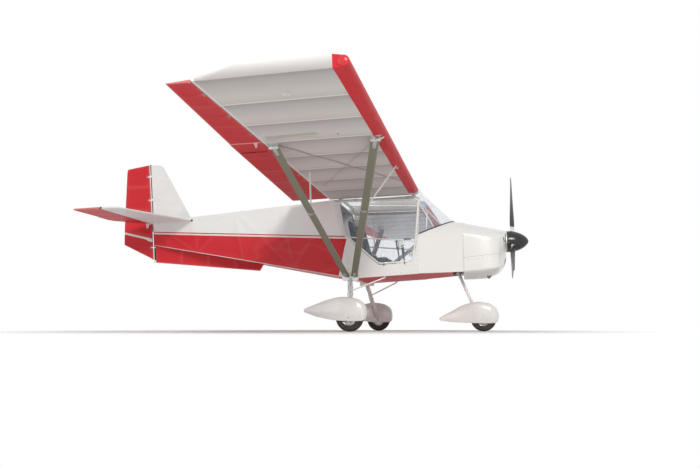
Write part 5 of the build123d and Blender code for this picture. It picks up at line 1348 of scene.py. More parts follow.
def add_intake(form, near, corners):
    """Four-sided intake covered by a woven mesh, with a raised rim."""
    a, b, c, d = (np.asarray(p) for p in corners)
    s, t = np.meshgrid(np.linspace(0, 1, 16), np.linspace(0, 1, 14))
    s, t = s[..., None], t[..., None]
    grid = a * (1 - s) * (1 - t) + b * s * (1 - t) + c * s * t + d * (1 - s) * t
    form.pad(near, grid, 0.0008, 0.003, 3)
    sides = ((a, b), (b, c), (c, d), (d, a))
    edge = np.concatenate([p + (q - p) * np.linspace(0, 1, 14)[:-1, None] for p, q in sides])
    edge = (np.roll(edge, 1, 0) + 2 * edge + np.roll(edge, -1, 0)) / 4
    add_bead(form, *near(edge), 0.0032)


def add_filler(form, near):
    """Oil filler's door on the crown with its two fasteners."""
    x, y = disc(13)
    grid = np.stack([2.285 + 0.045 * x, 0.115 + 0.055 * y, np.full(x.shape, 1.5)], 2)
    form.pad(near, grid, 0.0016, 0.002, 0)
    form.studs(*near([(2.285, 0.068, 1.5), (2.285, 0.162, 1.5)]), 0.006, 0.003, 12, 1)


def add_exhaust():
    """Exhaust pipe under the keel, open at its end, with a clamp."""
    path = [(2.3, -0.1, 0.84), (2.315, -0.1, 0.77), (2.318, -0.102, 0.725), (2.305, -0.104, 0.69),
        (2.285, -0.106, 0.668)]
    line = smooth_rows(np.column_stack([np.linspace(0, 1, 5), path]), np.linspace(0, 1, 24))
    form = Form()
    way = np.gradient(line, axis=0)
    side, _ = crossing_ways(way[0])
    rings = []
    for radius, order in ((0.021, 1), (0.0185, -1)):
        for point, w in list(zip(line, way))[::order]:
            w = unit(w)
            side = unit(side - w * (side @ w))
            rings.append(point + radius * circle(turns(28), side, np.cross(w, side)))
    form.sheet(np.array(rings), hoop=True)
    form.rod(line[11] - way[11], line[11] + way[11], 0.0235, 28, 1)
    form.rod(line[11] + (-0.022, 0.024, 0), line[11] + (0.022, 0.024, 0), 0.0035, 8, 1)
    form.build("exhaust", "airframe", "engine_metal steel", (), "engine_metal")


def make_cowl(context):
    """Builds the moulded cowl with its slots, intakes and screws.

    Each section is a closed loop of a keel arc, two leaning sides and a crown arc with rounded
    corners; the sections follow a smooth cubic through the stations and close in to the shaft's hole.
    """
    outer, inner = cowl_surface(), cowl_surface(0.006)
    inner[:, :, 0] = np.where(inner[:, :, 0] < 1.992, 1.9907, inner[:, :, 0])
    form = Form().sheet(np.concatenate([outer, inner[::-1]]), hoop=True)
    near = seat_on(outer, np.array([2.2, 0.0, 1.02]))
    for side in (-1, 1):
        form.studs(*seated_row(near, side, [(2.006, z) for z in np.linspace(0.79, 1.2, 8)]), 0.0055, 0.0024,
            10, 1)
        form.studs(*seated_row(near, side,
            [(x, 0.885 + 0.12 * (x - 2.0)) for x in np.linspace(2.06, 2.43, 7)]), 0.005, 0.0022, 10, 1)
        for joint in ([(x, side * 0.4, 0.915 + 0.12 * (x - 2.0)) for x in np.linspace(1.9925, 2.468, 60)],
                [(2.0015, side * 0.4, z) for z in np.linspace(0.745, 1.218, 40)]):
            place, out = near(joint)
            form.tube(place + 0.0002 * out, 0.0009, 8, 2)
        for start, end, width in (((2.49, 0.168, 1.176), (2.5, 0.15, 1.106), 0.03),
                ((2.5015, 0.146, 1.092), (2.506, 0.134, 1.04), 0.016)):
            add_opening(form, near, np.array(start) * [1, side, 1], np.array(end) * [1, side, 1], width, 4)
        corners = [(2.47, 0.102, 0.808), (2.474, 0.166, 0.878), (2.5, 0.104, 0.944), (2.493, 0.036, 0.868)]
        add_intake(form, near, [(x, side * y, z) for x, y, z in corners])
        # Round outlets: a dark disc of painted shade inside each ring
        for y, z in ((0.098, 1.012), (0.086, 0.968)):
            place, out = near([(2.506, side * y, z)])
            form.studs(place, out, 0.0115, 0.0012, 20, 4)
            form.spun([(-0.001, 0.0115), (0.0016, 0.012), (0.0022, 0.0135), (0.001, 0.015), (-0.001, 0.0152)],
                place[0], out[0], 24, 0, True)
    form.studs(*near([(x, 0.0, 1.5) for x in np.linspace(2.08, 2.4, 4)]), 0.005, 0.002, 10, 1)
    for side in (-1, 1):
        form.studs(*near([(2.006, side * y, 1.45) for y in (0.06, 0.16, 0.25)]), 0.0055, 0.0024, 10, 1)
    add_filler(form, near)
    form.build("cowl_skin", "airframe", "white_shell steel black_plastic intake_mesh dark_opening", ["cowl"],
        "white_skin", sharp=42)
    add_exhaust()


class AIRCRAFT_OT_cowl(bpy.types.Operator):
    """Builds the moulded cowl with its slots, intakes and screws."""

    bl_idname = "aircraft.cowl"
    bl_label = "Cowl"

    def execute(self, context):
        make_cowl(context)
        return {"FINISHED"}


# Propeller


def add_spinner():
    """Dome turned about the shaft: radius = 0.135 * (1 - s ** 2.15) ** 0.62 along its length."""
    s = np.linspace(0, 1, 44) ** 0.8
    outer = np.column_stack([0.012 + 0.268 * s, 0.135 * (1 - s ** 2.15) ** 0.62])
    outer[-1] = (0.28, 0.0012)
    inner = outer[::-1] * [1, 0.955] + [-0.004, 0]
    inner[0] = (0.274, 0.001)
    centre = np.array([2.52, 0, PROP_AXIS_Z])
    form = Form().spun(np.concatenate([outer, inner]), centre, X_WAY, 96, 0, True)
    plate = [(0.0, 0.06), (0.0, 0.133), (0.0012, 0.135), (0.01, 0.1358), (0.0115, 0.135), (0.0115, 0.06)]
    form.spun(plate, centre, X_WAY, 96, 1, True)
    ways = circle(turns(9) + np.radians(20), Z_WAY, Y_WAY)
    form.studs(centre + ways * 0.1345 + X_WAY * 0.022, ways, 0.0048, 0.0022, 10, 2)
    for k in range(3):
        a = k * 2 * np.pi / 3
        radial = np.array([0, -np.sin(a), np.cos(a)])
        across = np.cross(X_WAY, radial)
        x, y = disc(15)
        grid = (np.array([2.597, 0, PROP_AXIS_Z]) + radial * 0.14 + x[..., None] * 0.044 * X_WAY
            + y[..., None] * 0.034 * across)
        dome = outer[:, 0] + 2.52
        place = grid - np.array([0, 0, PROP_AXIS_Z])
        size = np.interp(grid[..., 0], dome, outer[:, 1])
        flat = unit(place[..., 1:])
        top = np.concatenate([grid[..., :1], flat * (size[..., None] + 0.0012)], 2) + (0, 0, PROP_AXIS_Z)
        low = np.concatenate([grid[..., :1], flat * (size[..., None] - 0.003)], 2) + (0, 0, PROP_AXIS_Z)
        # Dark cut-outs where the blades pass: painted shade inside them
        form.slab(top, low, 3)
    form.build("spinner_dome", "propeller", "spinner_gloss bare_metal steel dark_opening", ["spinner"],
        "black_gloss", sharp=40)


def make_propeller(context):
    """Builds the three blades, their silver cuffs and the spinner.

    A blade's section at a distance r is a closed aerofoil of the chord, thickness and twist that a
    smooth cubic gives there; near the tip the chord shrinks by sqrt(1 - s * s).
    """
    table = [(0.095, 0.04, 0.0395, 42), (0.118, 0.04, 0.0395, 42), (0.15, 0.07, 0.027, 41),
        (0.23, 0.103, 0.021, 33), (0.33, 0.112, 0.018, 27), (0.6, 0.092, 0.012, 17), (0.78, 0.062, 0.008, 13),
        (0.83, 0.046, 0.006, 12)]
    at = np.concatenate([np.linspace(0.095, 0.79, 60), 0.79 + 0.041 * np.sin(np.linspace(0.08, 1.5, 14))])
    rows = smooth_rows(table, at)
    t = turns(40)
    share = np.clip((rows[:, 0] - 0.04) / 0.03, 0, 1)[:, None]
    close = np.sqrt(1 - np.clip((at - 0.79) / 0.042, 0, 1) ** 2)[:, None]
    chord, thick, twist = (rows[:, k:k + 1] for k in range(3))
    c = 0.5 * np.cos(t)[None] * chord * (0.35 + 0.65 * close)
    round_part = 0.5 * np.sin(t)[None]
    wing_part = 0.62 * np.sin(t)[None] * np.sqrt(np.clip(0.5 + 0.5 * np.cos(t + 0.55 * np.sin(t)), 0, 1))
    h = thick * (round_part * (1 - share) + wing_part * share) * np.clip(close * 1.6, 0, 1)
    lean = np.radians(twist)
    x = -np.cos(lean) * h + np.sin(lean) * c
    y = np.sin(lean) * h + np.cos(lean) * c
    blade = np.stack([2.6 + x, y, np.broadcast_to(at[:, None], x.shape)], 2)
    form = Form()
    for k in range(3):
        turn = k * 2 * np.pi / 3
        spin = np.array([[1, 0, 0], [0, np.cos(turn), -np.sin(turn)], [0, np.sin(turn), np.cos(turn)]])
        put = lambda grid: grid @ spin.T + (0, 0, PROP_AXIS_Z)
        form.sheet(put(blade))
        radial = spin @ np.array([0, 0, 1.0])
        profile = [(0.08, 0.0215), (0.122, 0.0215), (0.1235, 0.0228), (0.136, 0.0228), (0.1375, 0.0215),
            (0.139, 0.02)]
        form.spun(profile, (2.6, 0, PROP_AXIS_Z), radial, 32, 1)
        sleeve = blade[(at > 0.128) & (at < 0.2)]
        middle = sleeve.mean(1, keepdims=True)
        form.sheet(put(middle + (sleeve - middle) * 1.035), slot=1)
        edge = blade[(at > 0.42) & (at < 0.825)][:, [1, 0, -1]]
        middle = blade[(at > 0.42) & (at < 0.825)].mean(1, keepdims=True)
        strip = middle + (edge - middle) * 1.012
        form.slab(put(strip), put(middle + (edge - middle) * 0.985), 3)
    form.rod((2.522, 0, PROP_AXIS_Z), (2.652, 0, PROP_AXIS_Z), 0.056, 48, 2)
    form.build("propeller_blades", "propeller", "blade_plastic silver_sleeve dark_metal steel", ["propeller"],
        "black_plastic", sharp=30)
    add_spinner()


class AIRCRAFT_OT_propeller(bpy.types.Operator):
    """Builds the three blades, their silver cuffs and the spinner."""

    bl_idname = "aircraft.propeller"
    bl_label = "Propeller and spinner"

    def execute(self, context):
        make_propeller(context)
        return {"FINISHED"}


# Struts, legs, spats and wheels


def make_struts(context):
    """Adds the struts' end forks, bolts, jury clamps and the short tube at each front strut's head."""
    form = Form()
    for shift, run in ((0.045, FRONT_STRUT_RUN), (-0.045, REAR_STRUT_RUN)):
        foot = np.array([0.615 + shift, 0.576, 0.672])
        head = wing_place(run, underside(run) - 0.018, STRUT_OUT)
        way = unit(head - foot)
        chord = unit(X_WAY - (X_WAY @ way) * way)
        across = np.cross(way, chord)
        ways = np.array([chord, across, way])
        for near, sign in ((foot, 1), (head, -1)):
            for side in (-1, 1):
                low, high = sorted((0.03 * sign, 0.135 * sign))
                form.box((-0.017, side * 0.0165 - 0.002, low), (0.017, side * 0.0165 + 0.002, high), 0,
                    0.0015, near, ways)
            for reach in (0.052, 0.085, 0.118):
                form.peg(near + way * reach * sign, across * 0.0235, 0.0048, 6, 1)
        middle = foot + (head - foot) * 0.56
        clamp = circle(turns(40), 0.0425 * chord, 0.0195 * across)
        steps = ((-0.012, 0.97), (-0.011, 1.0), (0.011, 1.0), (0.012, 0.97))
        form.sheet(np.array([middle + clamp * grow + way * reach for reach, grow in steps]))
        form.peg(middle - chord * 0.03, across * 0.024, 0.004, 6, 1)
        jury_head = wing_place(0.07 if run < 0.5 else 1.01, underside(run) - 0.004, STRUT_OUT * 0.56)
        form.rod(jury_head - 0.02 * RISE_WAY, jury_head - 0.002 * RISE_WAY, 0.0125, 16, 0)
        form.studs([jury_head - 0.012 * RISE_WAY + 0.0125 * CHORD_WAY], CHORD_WAY, 0.004, 0.004, 6, 1)
    start = wing_place(FRONT_STRUT_RUN + 0.012, underside(0.1) - 0.034, STRUT_OUT - 0.004)
    path = np.array([start, start + (0.03, -0.012, 0.004), start + (0.085, -0.022, 0.03)])
    form.tube(smooth_rows(np.column_stack([[0, 0.4, 1], path]), np.linspace(0, 1, 12)), 0.0075, 14, 2)
    form.both().build("strut_fittings", "airframe", "bare_metal steel white_tube", (), "bare_metal")


class AIRCRAFT_OT_struts(bpy.types.Operator):
    """Adds the struts' end forks, bolts, jury clamps and the short tube at each front strut's head."""

    bl_idname = "aircraft.struts"
    bl_label = "Strut fittings"

    def execute(self, context):
        make_struts(context)
        return {"FINISHED"}


MAIN_SPAT = [(-0.556, 0.012, 0.232, 0.266), (-0.4, 0.042, 0.178, 0.325), (-0.23, 0.068, 0.142, 0.382),
    (-0.08, 0.084, 0.126, 0.405), (0.07, 0.084, 0.122, 0.385), (0.15, 0.07, 0.126, 0.345),
    (0.19, 0.046, 0.15, 0.298), (0.205, 0.016, 0.19, 0.255)]
NOSE_SPAT = [(-0.556, 0.012, 0.138, 0.172), (-0.4, 0.042, 0.118, 0.252), (-0.23, 0.074, 0.108, 0.338),
    (-0.06, 0.09, 0.102, 0.374), (0.07, 0.088, 0.1, 0.352), (0.145, 0.07, 0.104, 0.31),
    (0.18, 0.046, 0.128, 0.262), (0.194, 0.016, 0.165, 0.225)]


def spat_grid(table, hub):
    """Spat's closed skin with its wheel well, as sections across the aircraft.

    Above its widest line the section is z = low + rise * (0.4 + 0.6 * sin(a)) and
    y = half * cos(a) ** 0.55; below it the half width shrinks by 0.16 * w * w towards the foot. The
    flat foot is pressed up to just under the roof inside the well.
    """
    first, last = table[0][0], table[-1][0]
    ends = np.array([0.0, 0.0015, 0.004, 0.008, 0.014])
    well = np.array([-0.1764, -0.1758, 0.1752, 0.1758])
    at = np.unique(np.round(np.concatenate([first + ends, np.linspace(first, last, 76), last - ends, well]),
        5))
    half, low, high = smooth_rows(table, at).T
    close = np.sqrt(np.clip(1 - np.clip(1 - np.minimum(at - first, last - at) / 0.014, 0, 1) ** 2, 0.02, 1))
    middle = (low + high) / 2
    half, low, high = half * close, middle + (low - middle) * close, middle + (high - middle) * close
    rise = high - low
    a = np.linspace(0, np.pi, 47)
    arc_y = np.sign(np.cos(a)) * np.abs(np.cos(a)) ** 0.55
    arc_z = 0.4 + 0.6 * np.sin(a)
    w = np.linspace(1, 0, 12)[:-1]
    side_y, side_z = 1 - 0.16 * w ** 2, 0.4 * (1 - w)
    grid = []
    for x, h, z0, r in zip(at, half, low, rise):
        foot = 0.84 * h
        inset = min(0.006, foot * 0.3)
        edge = min(0.058, foot - inset)
        inner = np.concatenate([[-foot + 0.5 * inset, -edge - 0.0004], np.linspace(-edge, edge, 15),
            [edge + 0.0004, foot - 0.5 * inset]])
        lift = np.zeros(len(inner))
        if well[0] < x < well[-1] and x not in (well[0], well[-1]) and edge > 0.02:
            roof = r * (0.4 + 0.6 * np.sqrt(np.clip(1 - (np.abs(inner) / h) ** 3.64, 0, 1))) - 0.01
            lift[2:-2] = roof[2:-2]
        bottom = np.column_stack([inner, z0 + lift])
        right = np.column_stack([h * side_y, z0 + r * side_z])
        right[0] = (foot, z0 + 0.3 * inset)
        top = np.column_stack([h * arc_y, z0 + r * arc_z])
        left = right[::-1] * [-1, 1]
        loop = np.concatenate([bottom, right, top, left])
        grid.append(np.column_stack([np.full(len(loop), x), loop]))
    return np.array(grid) + (hub[0], hub[1], 0.0)


def make_main_legs():
    """Main legs: a sleeve whose radius wavers by sines along and round it, clamps and the axle."""
    top, foot = np.array([0.62, 0.576, 0.64]), np.array([0.7, 0.962, 0.165])
    length, way = np.linalg.norm(foot - top), unit(foot - top)
    back = -unit(X_WAY - (X_WAY @ way) * way)
    side = np.cross(way, back)
    spot = lambda share: top + way * length * share
    form = Form()
    s = np.linspace(0.01, 0.56, 150) * length
    turn = turns(32)
    s2, a = np.meshgrid(s, turn, indexing="ij")
    radius = (0.0245 + 0.001 * np.sin(2 * np.pi * s2 / 0.026 + 2 * np.sin(a))
        + 0.0008 * np.sin(3 * a + 21 * s2) + 0.0006 * np.sin(2 * np.pi * s2 / 0.041 - a))
    form.sheet(top + s2[..., None] * way + radius[..., None] * circle(turn, back, side))
    form.rod(spot(0.5), spot(0.998), 0.02, 32, 0, 0.1)
    form.rod(spot(0.575), spot(0.6), 0.0216, 32, 1, 0.2)
    for share in (0.03, 0.2, 0.4, 0.55):
        middle = spot(share)
        form.peg(middle, way * 0.0085, 0.0292, 36, 1, 0.12)
        form.box((-0.008, -0.006, -0.0075), (0.012, 0.006, 0.0075), 1, 0.001, middle + side * 0.031,
            np.array([side, back, way]))
        form.peg(middle + side * 0.037, back * 0.012, 0.0038, 6, 2)
    form.box((-0.02, -0.008, -0.024), (0.02, 0.008, 0.024), 1, 0.003, foot)
    form.rod(foot - (0, 0.014, 0), (0.7, 1.114, 0.165), 0.01, 24, 2)
    form.rod(foot - (0, 0.02, 0), foot - (0, 0.008, 0), 0.015, 6, 2)
    for x, z in ((-0.013, -0.016), (0.013, -0.016), (-0.013, 0.016), (0.013, 0.016)):
        form.studs([foot + (x, -0.008, z)], -Y_WAY, 0.0038, 0.003, 6, 2)
    share = np.linspace(0.02, 0.97, 60)
    wave = 0.0325 + 0.004 * np.sin(share * 19) * np.sin(np.pi * share)
    hose = spot(0) + (way * length)[None] * share[:, None] + back * wave[:, None] + side * 0.008
    form.tube(hose, 0.0036, 10, 3)
    form.rod(top - (0.03, 0, -0.006), top + (0.03, 0, 0.006), 0.0065, 12, 2)
    form.both().build("main_legs_detailed", "airframe", "silver_sleeve bare_metal steel brake_hose",
        ["main_legs"], "bare_metal")


def make_spats():
    """Spats on their grids of sections, with screws and a seam."""
    form = Form().sheet(spat_grid(MAIN_SPAT, MAIN_WHEEL))
    x = np.linspace(-0.24, 0.12, 5)
    half, low, high = smooth_rows(MAIN_SPAT, x).T
    for side in (-1, 1):
        spots = np.stack([MAIN_WHEEL[0] + x, MAIN_WHEEL[1] + side * (half * 0.955),
            low + 0.22 * (high - low)], 1)
        form.studs(spots, side * Y_WAY - 0.1 * Z_WAY, 0.0045, 0.0026, 8, 1)
    add_seam(form, MAIN_SPAT, MAIN_WHEEL)
    form.both().build("main_spats_moulded", "airframe", "white_shell steel black_plastic", ["main_spats"],
        "white_skin", sharp=40)
    form = Form().sheet(spat_grid(NOSE_SPAT, NOSE_WHEEL))
    for side in (-1, 1):
        form.studs([(NOSE_WHEEL[0], side * 0.0888, 0.2), (NOSE_WHEEL[0] - 0.1, side * 0.0868, 0.22)],
            side * Y_WAY, 0.006, 0.003, 12, 1)
    add_seam(form, NOSE_SPAT, NOSE_WHEEL)
    form.build("nose_spat_moulded", "nose_gear", "white_shell steel black_plastic", ["nose_spat"],
        "white_skin", sharp=40)


def add_seam(form, table, hub):
    """Moulding seam along the spat's middle line, over its back and crown."""
    x = np.linspace(table[0][0] + 0.02, table[-1][0] - 0.016, 70)
    high = smooth_rows(table, x)[:, 2]
    form.tube(np.stack([hub[0] + x, hub[1] + 0 * x, high + 0.0004], 1), 0.0012, 6, 0)


def make_nose_fittings():
    """Axle nuts, collars round the nose leg's line and the bolts at its foot."""
    form = Form()
    for side in (-1, 1):
        hub = np.array([NOSE_WHEEL[0], side * 0.0605, NOSE_WHEEL[2]])
        form.rod(hub, hub + (0, side * 0.007, 0), 0.0155, 6, 1)
        form.rod(hub, hub + (0, side * 0.0135, 0), 0.008, 12, 1)
    low, high = np.array([2.075, 0, 0.368]), np.array([1.855, 0, 0.876])
    way = unit(high - low)
    length = np.linalg.norm(high - low)
    for reach in (0.02, 0.3, 0.62):
        spot = low + way * length * reach
        form.peg(spot, way * 0.006, 0.0215, 32, 0, 0.15)
    for reach in (0.012, 0.04):
        spot = low + way * reach
        form.peg(spot, 0.027 * Y_WAY, 0.005, 6, 1)
    form.build("nose_leg_fittings", "nose_gear", "bare_metal steel", (), "bare_metal")


class AIRCRAFT_OT_gear(bpy.types.Operator):
    """Builds the main legs with their sleeves, the spats and the nose leg's fittings.

    A sleeve's radius is 0.0245 + 0.0010 * sin(2 * pi * s / 0.026 + 2 * sin(a)) + 0.0008 * sin(3 * a + 21 * s)
    along its length s and round it by a.
    """

    bl_idname = "aircraft.gear"
    bl_label = "Legs and spats"

    def execute(self, context):
        make_main_legs()
        make_spats()
        make_nose_fittings()
        return {"FINISHED"}


def tyre_profile(radius):
    """Profile: bead, bulging wall with two rings, shoulder and a crown with four grooves."""
    wall = [(0.0365, 0.088), (0.0402, 0.0884), (0.0432, 0.0925), (0.0455, 0.099), (0.0478, 0.108),
        (0.0486, 0.11), (0.0494, 0.1105), (0.0492, 0.113), (0.0496, 0.12), (0.05, 0.1265), (0.0496, 0.1345),
        (0.0484, 0.14), (0.0482, 0.1415), (0.047, 0.1425), (0.044, 0.149), (0.0395, 0.1545), (0.034, 0.1578)]
    crown = []
    for y in np.linspace(0.03, -0.03, 41):
        near = np.min(np.abs(np.abs(y) - np.array([0.0075, 0.021])))
        crown.append((y, 0.165 - 0.0062 * (y / 0.032) ** 2 - (0.0032 if near < 0.0014 else 0.0)))
    left = [(-y, r) for y, r in wall[::-1]]
    bead = 0.0882
    inner = [(y, bead) for y in np.linspace(-0.034, 0.034, 6)]
    profile = np.array(wall + crown + left + inner)
    profile[:, 1] = bead + (profile[:, 1] - bead) * (radius - bead) / (0.165 - bead)
    return profile


def make_rim(side, hub, inner, body):
    """Rim: a barrel and a dished disc turned about the axle, with bolts, holes and valve."""
    form = Form()
    barrel = [(-0.04, 0.0876), (-0.0425, 0.09), (-0.0445, 0.0905), (-0.0455, 0.089), (-0.044, 0.085),
        (-0.038, 0.081), (-0.02, 0.079), (0.02, 0.079), (0.038, 0.081), (0.044, 0.085), (0.0455, 0.089),
        (0.0445, 0.0905), (0.0425, 0.09), (0.04, 0.0876)]
    form.spun(barrel, hub, Y_WAY, 72, 0, True)
    disc_profile = [(0.006, 0.0795), (0.006, 0.07), (0.0085, 0.064), (0.009, 0.048), (0.0075, 0.034),
        (0.012, 0.0255), (0.04, 0.024), (0.045, 0.0225), (0.046, 0.02), (0.046, 0.0107)]
    whole = disc_profile + [(-y, r) for y, r in disc_profile[::-1]]
    form.spun(whole, hub, Y_WAY, 56, 0, True)
    bolts, holes = (hub + 0.056 * circle(turns(6) + np.radians(start), X_WAY, Z_WAY) for start in (15, 45))
    for way in (-Y_WAY, Y_WAY):
        form.studs(bolts + way * 0.0088, way, 0.0046, 0.0052, 6, 1)
        # Holes in the disc drawn as dark discs: painted shade
        form.studs(holes + way * 0.0088, way, 0.0078, 0.0009, 20, 2)
    form.rod(hub + (0.072, 0.008, 0.0), hub + (0.07, 0.036, 0.0), 0.0036, 12, 3)
    form.rod(hub + (0.0705, 0.028, 0.0), hub + (0.0698, 0.04, 0.0), 0.0046, 12, 3)
    if inner:
        plate = [(-0.0016, 0.04), (-0.0016, 0.07), (0.0016, 0.07), (0.0016, 0.04)]
        form.spun(plate, hub + Y_WAY * inner * 0.028, Y_WAY, 72, 1, True)
        for spot in hub + 0.046 * circle(turns(3), X_WAY, Z_WAY):
            form.rod(spot + Y_WAY * inner * 0.008, spot + Y_WAY * inner * 0.03, 0.005, 8, 1)
    form.build(side + "_rim_detailed", body, "bare_metal steel dark_opening black_plastic", [side + "_rim"],
        "bare_metal", sharp=30)


class AIRCRAFT_OT_wheels(bpy.types.Operator):
    """Builds the tyres and rims, all turned about their axles from closed profiles."""

    bl_idname = "aircraft.wheels"
    bl_label = "Wheels"

    def execute(self, context):
        for side, hub, inner in (("left", MAIN_WHEEL, -1), ("right", MAIN_WHEEL * [1, -1, 1], 1),
                ("nose", NOSE_WHEEL, 0)):
            radius = hub[2]
            body = "nose_wheel" if side == "nose" else "wheel_" + side
            tyre = Form().spun(tyre_profile(radius), hub, Y_WAY, 96, 0, True)
            tyre.build(side + "_tyre_grooved", body, "tyre_rubber", [side + "_tyre"], "tyre_rubber", sharp=38)
            make_rim(side, hub, inner, body)
        return {"FINISHED"}


# Cabin


def screen_foot(x):
    """Half width of the windscreen's foot, where its plane cuts the deck's crown."""
    share = (x - 1.46) / 0.53
    half, high, top = 0.555 - 0.255 * share, 1.09 + 0.14 * share, 1.46 - 0.072 * share
    rise = top - high
    radius = (half ** 2 + rise ** 2) / (2 * rise)
    level = 1.2 + (x - 1.46) * 0.4983
    return np.sqrt(np.clip(radius ** 2 - (level - top + radius) ** 2, 0, None)), level


def add_mat():
    """Ribbed dark mat on the cabin floor: its top rises by 0.0012 * |sin(pi * y / 0.012)|."""
    x, y = np.meshgrid(np.linspace(0.65, 1.85, 50), np.linspace(-1, 1, 301), indexing="ij")
    wide = np.interp(x, [0.65, 1.45, 1.85], [0.54, 0.54, 0.355])
    level = 0.657 + (x - 0.622) * (0.705 - 0.657) / (1.46 - 0.622)
    top = np.stack([x, y * wide, level + 0.0135 + 0.0012 * np.abs(np.sin(np.pi * y * wide / 0.012))], 2)
    low = np.stack([x, y * wide, level + 0.006], 2)
    Form().slab(top, low).build("floor_mat", "airframe", "black_plastic", (), "black_plastic")


def make_cabin(context):
    """Adds the windscreen's sealing strip, the doors' vents, latches and handles, and tube gussets."""
    form = Form()
    x = 1.462 + 0.4065 * np.sin(np.linspace(0, np.pi / 2, 60))
    half, level = screen_foot(x)
    line = np.stack([x, half + 0.002, level + 0.001], 1)
    whole = np.concatenate([line, line[-2::-1] * [1, -1, 1]])
    form.tube(whole, 0.008, 12, 0)
    form.studs(whole[4:-4:7] + (0.0, 0.0, 0.0065), Z_WAY, 0.004, 0.003, 8, 1)
    form.build("screen_seal", "airframe", "black_plastic steel", (), "black_plastic")
    add_mat()
    for name, side in (("left", 1), ("right", -1)):
        door = Form()
        vent = np.array([1.244, 0.5425, 1.071])
        ring = [(0.0, 0.04), (0.0055, 0.0405), (0.0075, 0.043), (0.007, 0.0465), (0.0035, 0.0485),
            (-0.0045, 0.0485), (-0.006, 0.044), (-0.0045, 0.04)]
        door.spun(ring, vent, Y_WAY, 48, 0, True)
        scoop = [(0.001, 0.04), (0.0035, 0.035), (0.0042, 0.012), (0.007, 0.01), (0.0075, 0.001),
            (-0.002, 0.001), (-0.002, 0.04)]
        door.spun(scoop, vent, Y_WAY, 48, 3)
        for x, z in ((1.3, 0.8515), (1.04, 0.8375)):
            door.box((-0.02, -0.006, -0.011), (0.02, 0.014, 0.013), 1, 0.003, (x, 0.5555, z))
            door.rod((x - 0.006, 0.566, z - 0.004), (x - 0.006, 0.566, z - 0.034), 0.0045, 12, 2)
        door.box((-0.045, 0.0, -0.007), (0.045, 0.011, 0.007), 2, 0.004, (1.33, 0.5635, 1.128))
        door.rod((1.3, 0.558, 1.128), (1.3, 0.57, 1.128), 0.0085, 20, 1)
        for x, z in ((1.4575, 1.6), (1.417, 0.88), (0.99, 0.85), (0.56, 1.2), (0.49, 1.6)):
            door.rod((x, 0.5438, z), (x, 0.546, z), 0.0075, 16, 1)
        for x in (0.68, 1.29):
            door.peg((x, 0.56, 1.6445), X_WAY * 0.03, 0.006, 16, 1)
            door.box((-0.022, -0.002, -0.022), (0.022, 0.002, 0.004), 1, 0.001, (x, 0.5672, 1.64))
        fit = door if side > 0 else door.mirrored()
        fit.build("door_fittings_" + name, "door_" + name, "white_tube bare_metal black_plastic clear_sheet",
            (), "white_tube")


class AIRCRAFT_OT_cabin(bpy.types.Operator):
    """Adds the windscreen's sealing strip, the doors' vents, latches and handles, and tube gussets."""

    bl_idname = "aircraft.cabin"
    bl_label = "Cabin details"

    def execute(self, context):
        make_cabin(context)
        return {"FINISHED"}


# Seats, belts and dials


def stuffed(form, cap):
    """Points and faces of a closed form swelled like a stuffed cover.

    The form is remeshed evenly and blown up as cloth; no point travels further than the cap.
    """
    scene = bpy.context.scene
    cover = bpy.data.objects.new("cover", form.mesh("cover"))
    scene.collection.objects.link(cover)
    remesh = cover.modifiers.new("even", "REMESH")
    remesh.mode, remesh.voxel_size = "VOXEL", 0.006
    even = bpy.data.meshes.new_from_object(cover.evaluated_get(bpy.context.evaluated_depsgraph_get()))
    cover.modifiers.clear()
    cover.data = even
    start = np.empty(len(even.vertices) * 3, np.float32)
    even.vertices.foreach_get("co", start)
    start = start.reshape(-1, 3).astype(float)
    points = start
    cloth = cover.modifiers.new("cloth", "CLOTH").settings
    cloth.quality, cloth.mass = 5, 0.3
    cloth.tension_stiffness = cloth.compression_stiffness = 12
    cloth.use_pressure, cloth.uniform_pressure_force = True, 4.0
    cloth.effector_weights.gravity = 0.0
    for number in range(1, 21):
        scene.frame_set(number)
    blown = cover.evaluated_get(bpy.context.evaluated_depsgraph_get()).to_mesh()
    moved = np.empty(len(blown.vertices) * 3, np.float32)
    blown.vertices.foreach_get("co", moved)
    travel = moved.reshape(-1, 3) - start
    size = np.linalg.norm(travel, axis=1, keepdims=True)
    points = start + travel * np.minimum(1, cap / np.maximum(size, 1e-9))
    scene.frame_set(1)
    faces = {}
    for face in even.polygons:
        faces.setdefault(len(face.vertices), []).append(tuple(face.vertices))
    bpy.data.objects.remove(cover)
    return points, [np.array(f) for f in faces.values()]


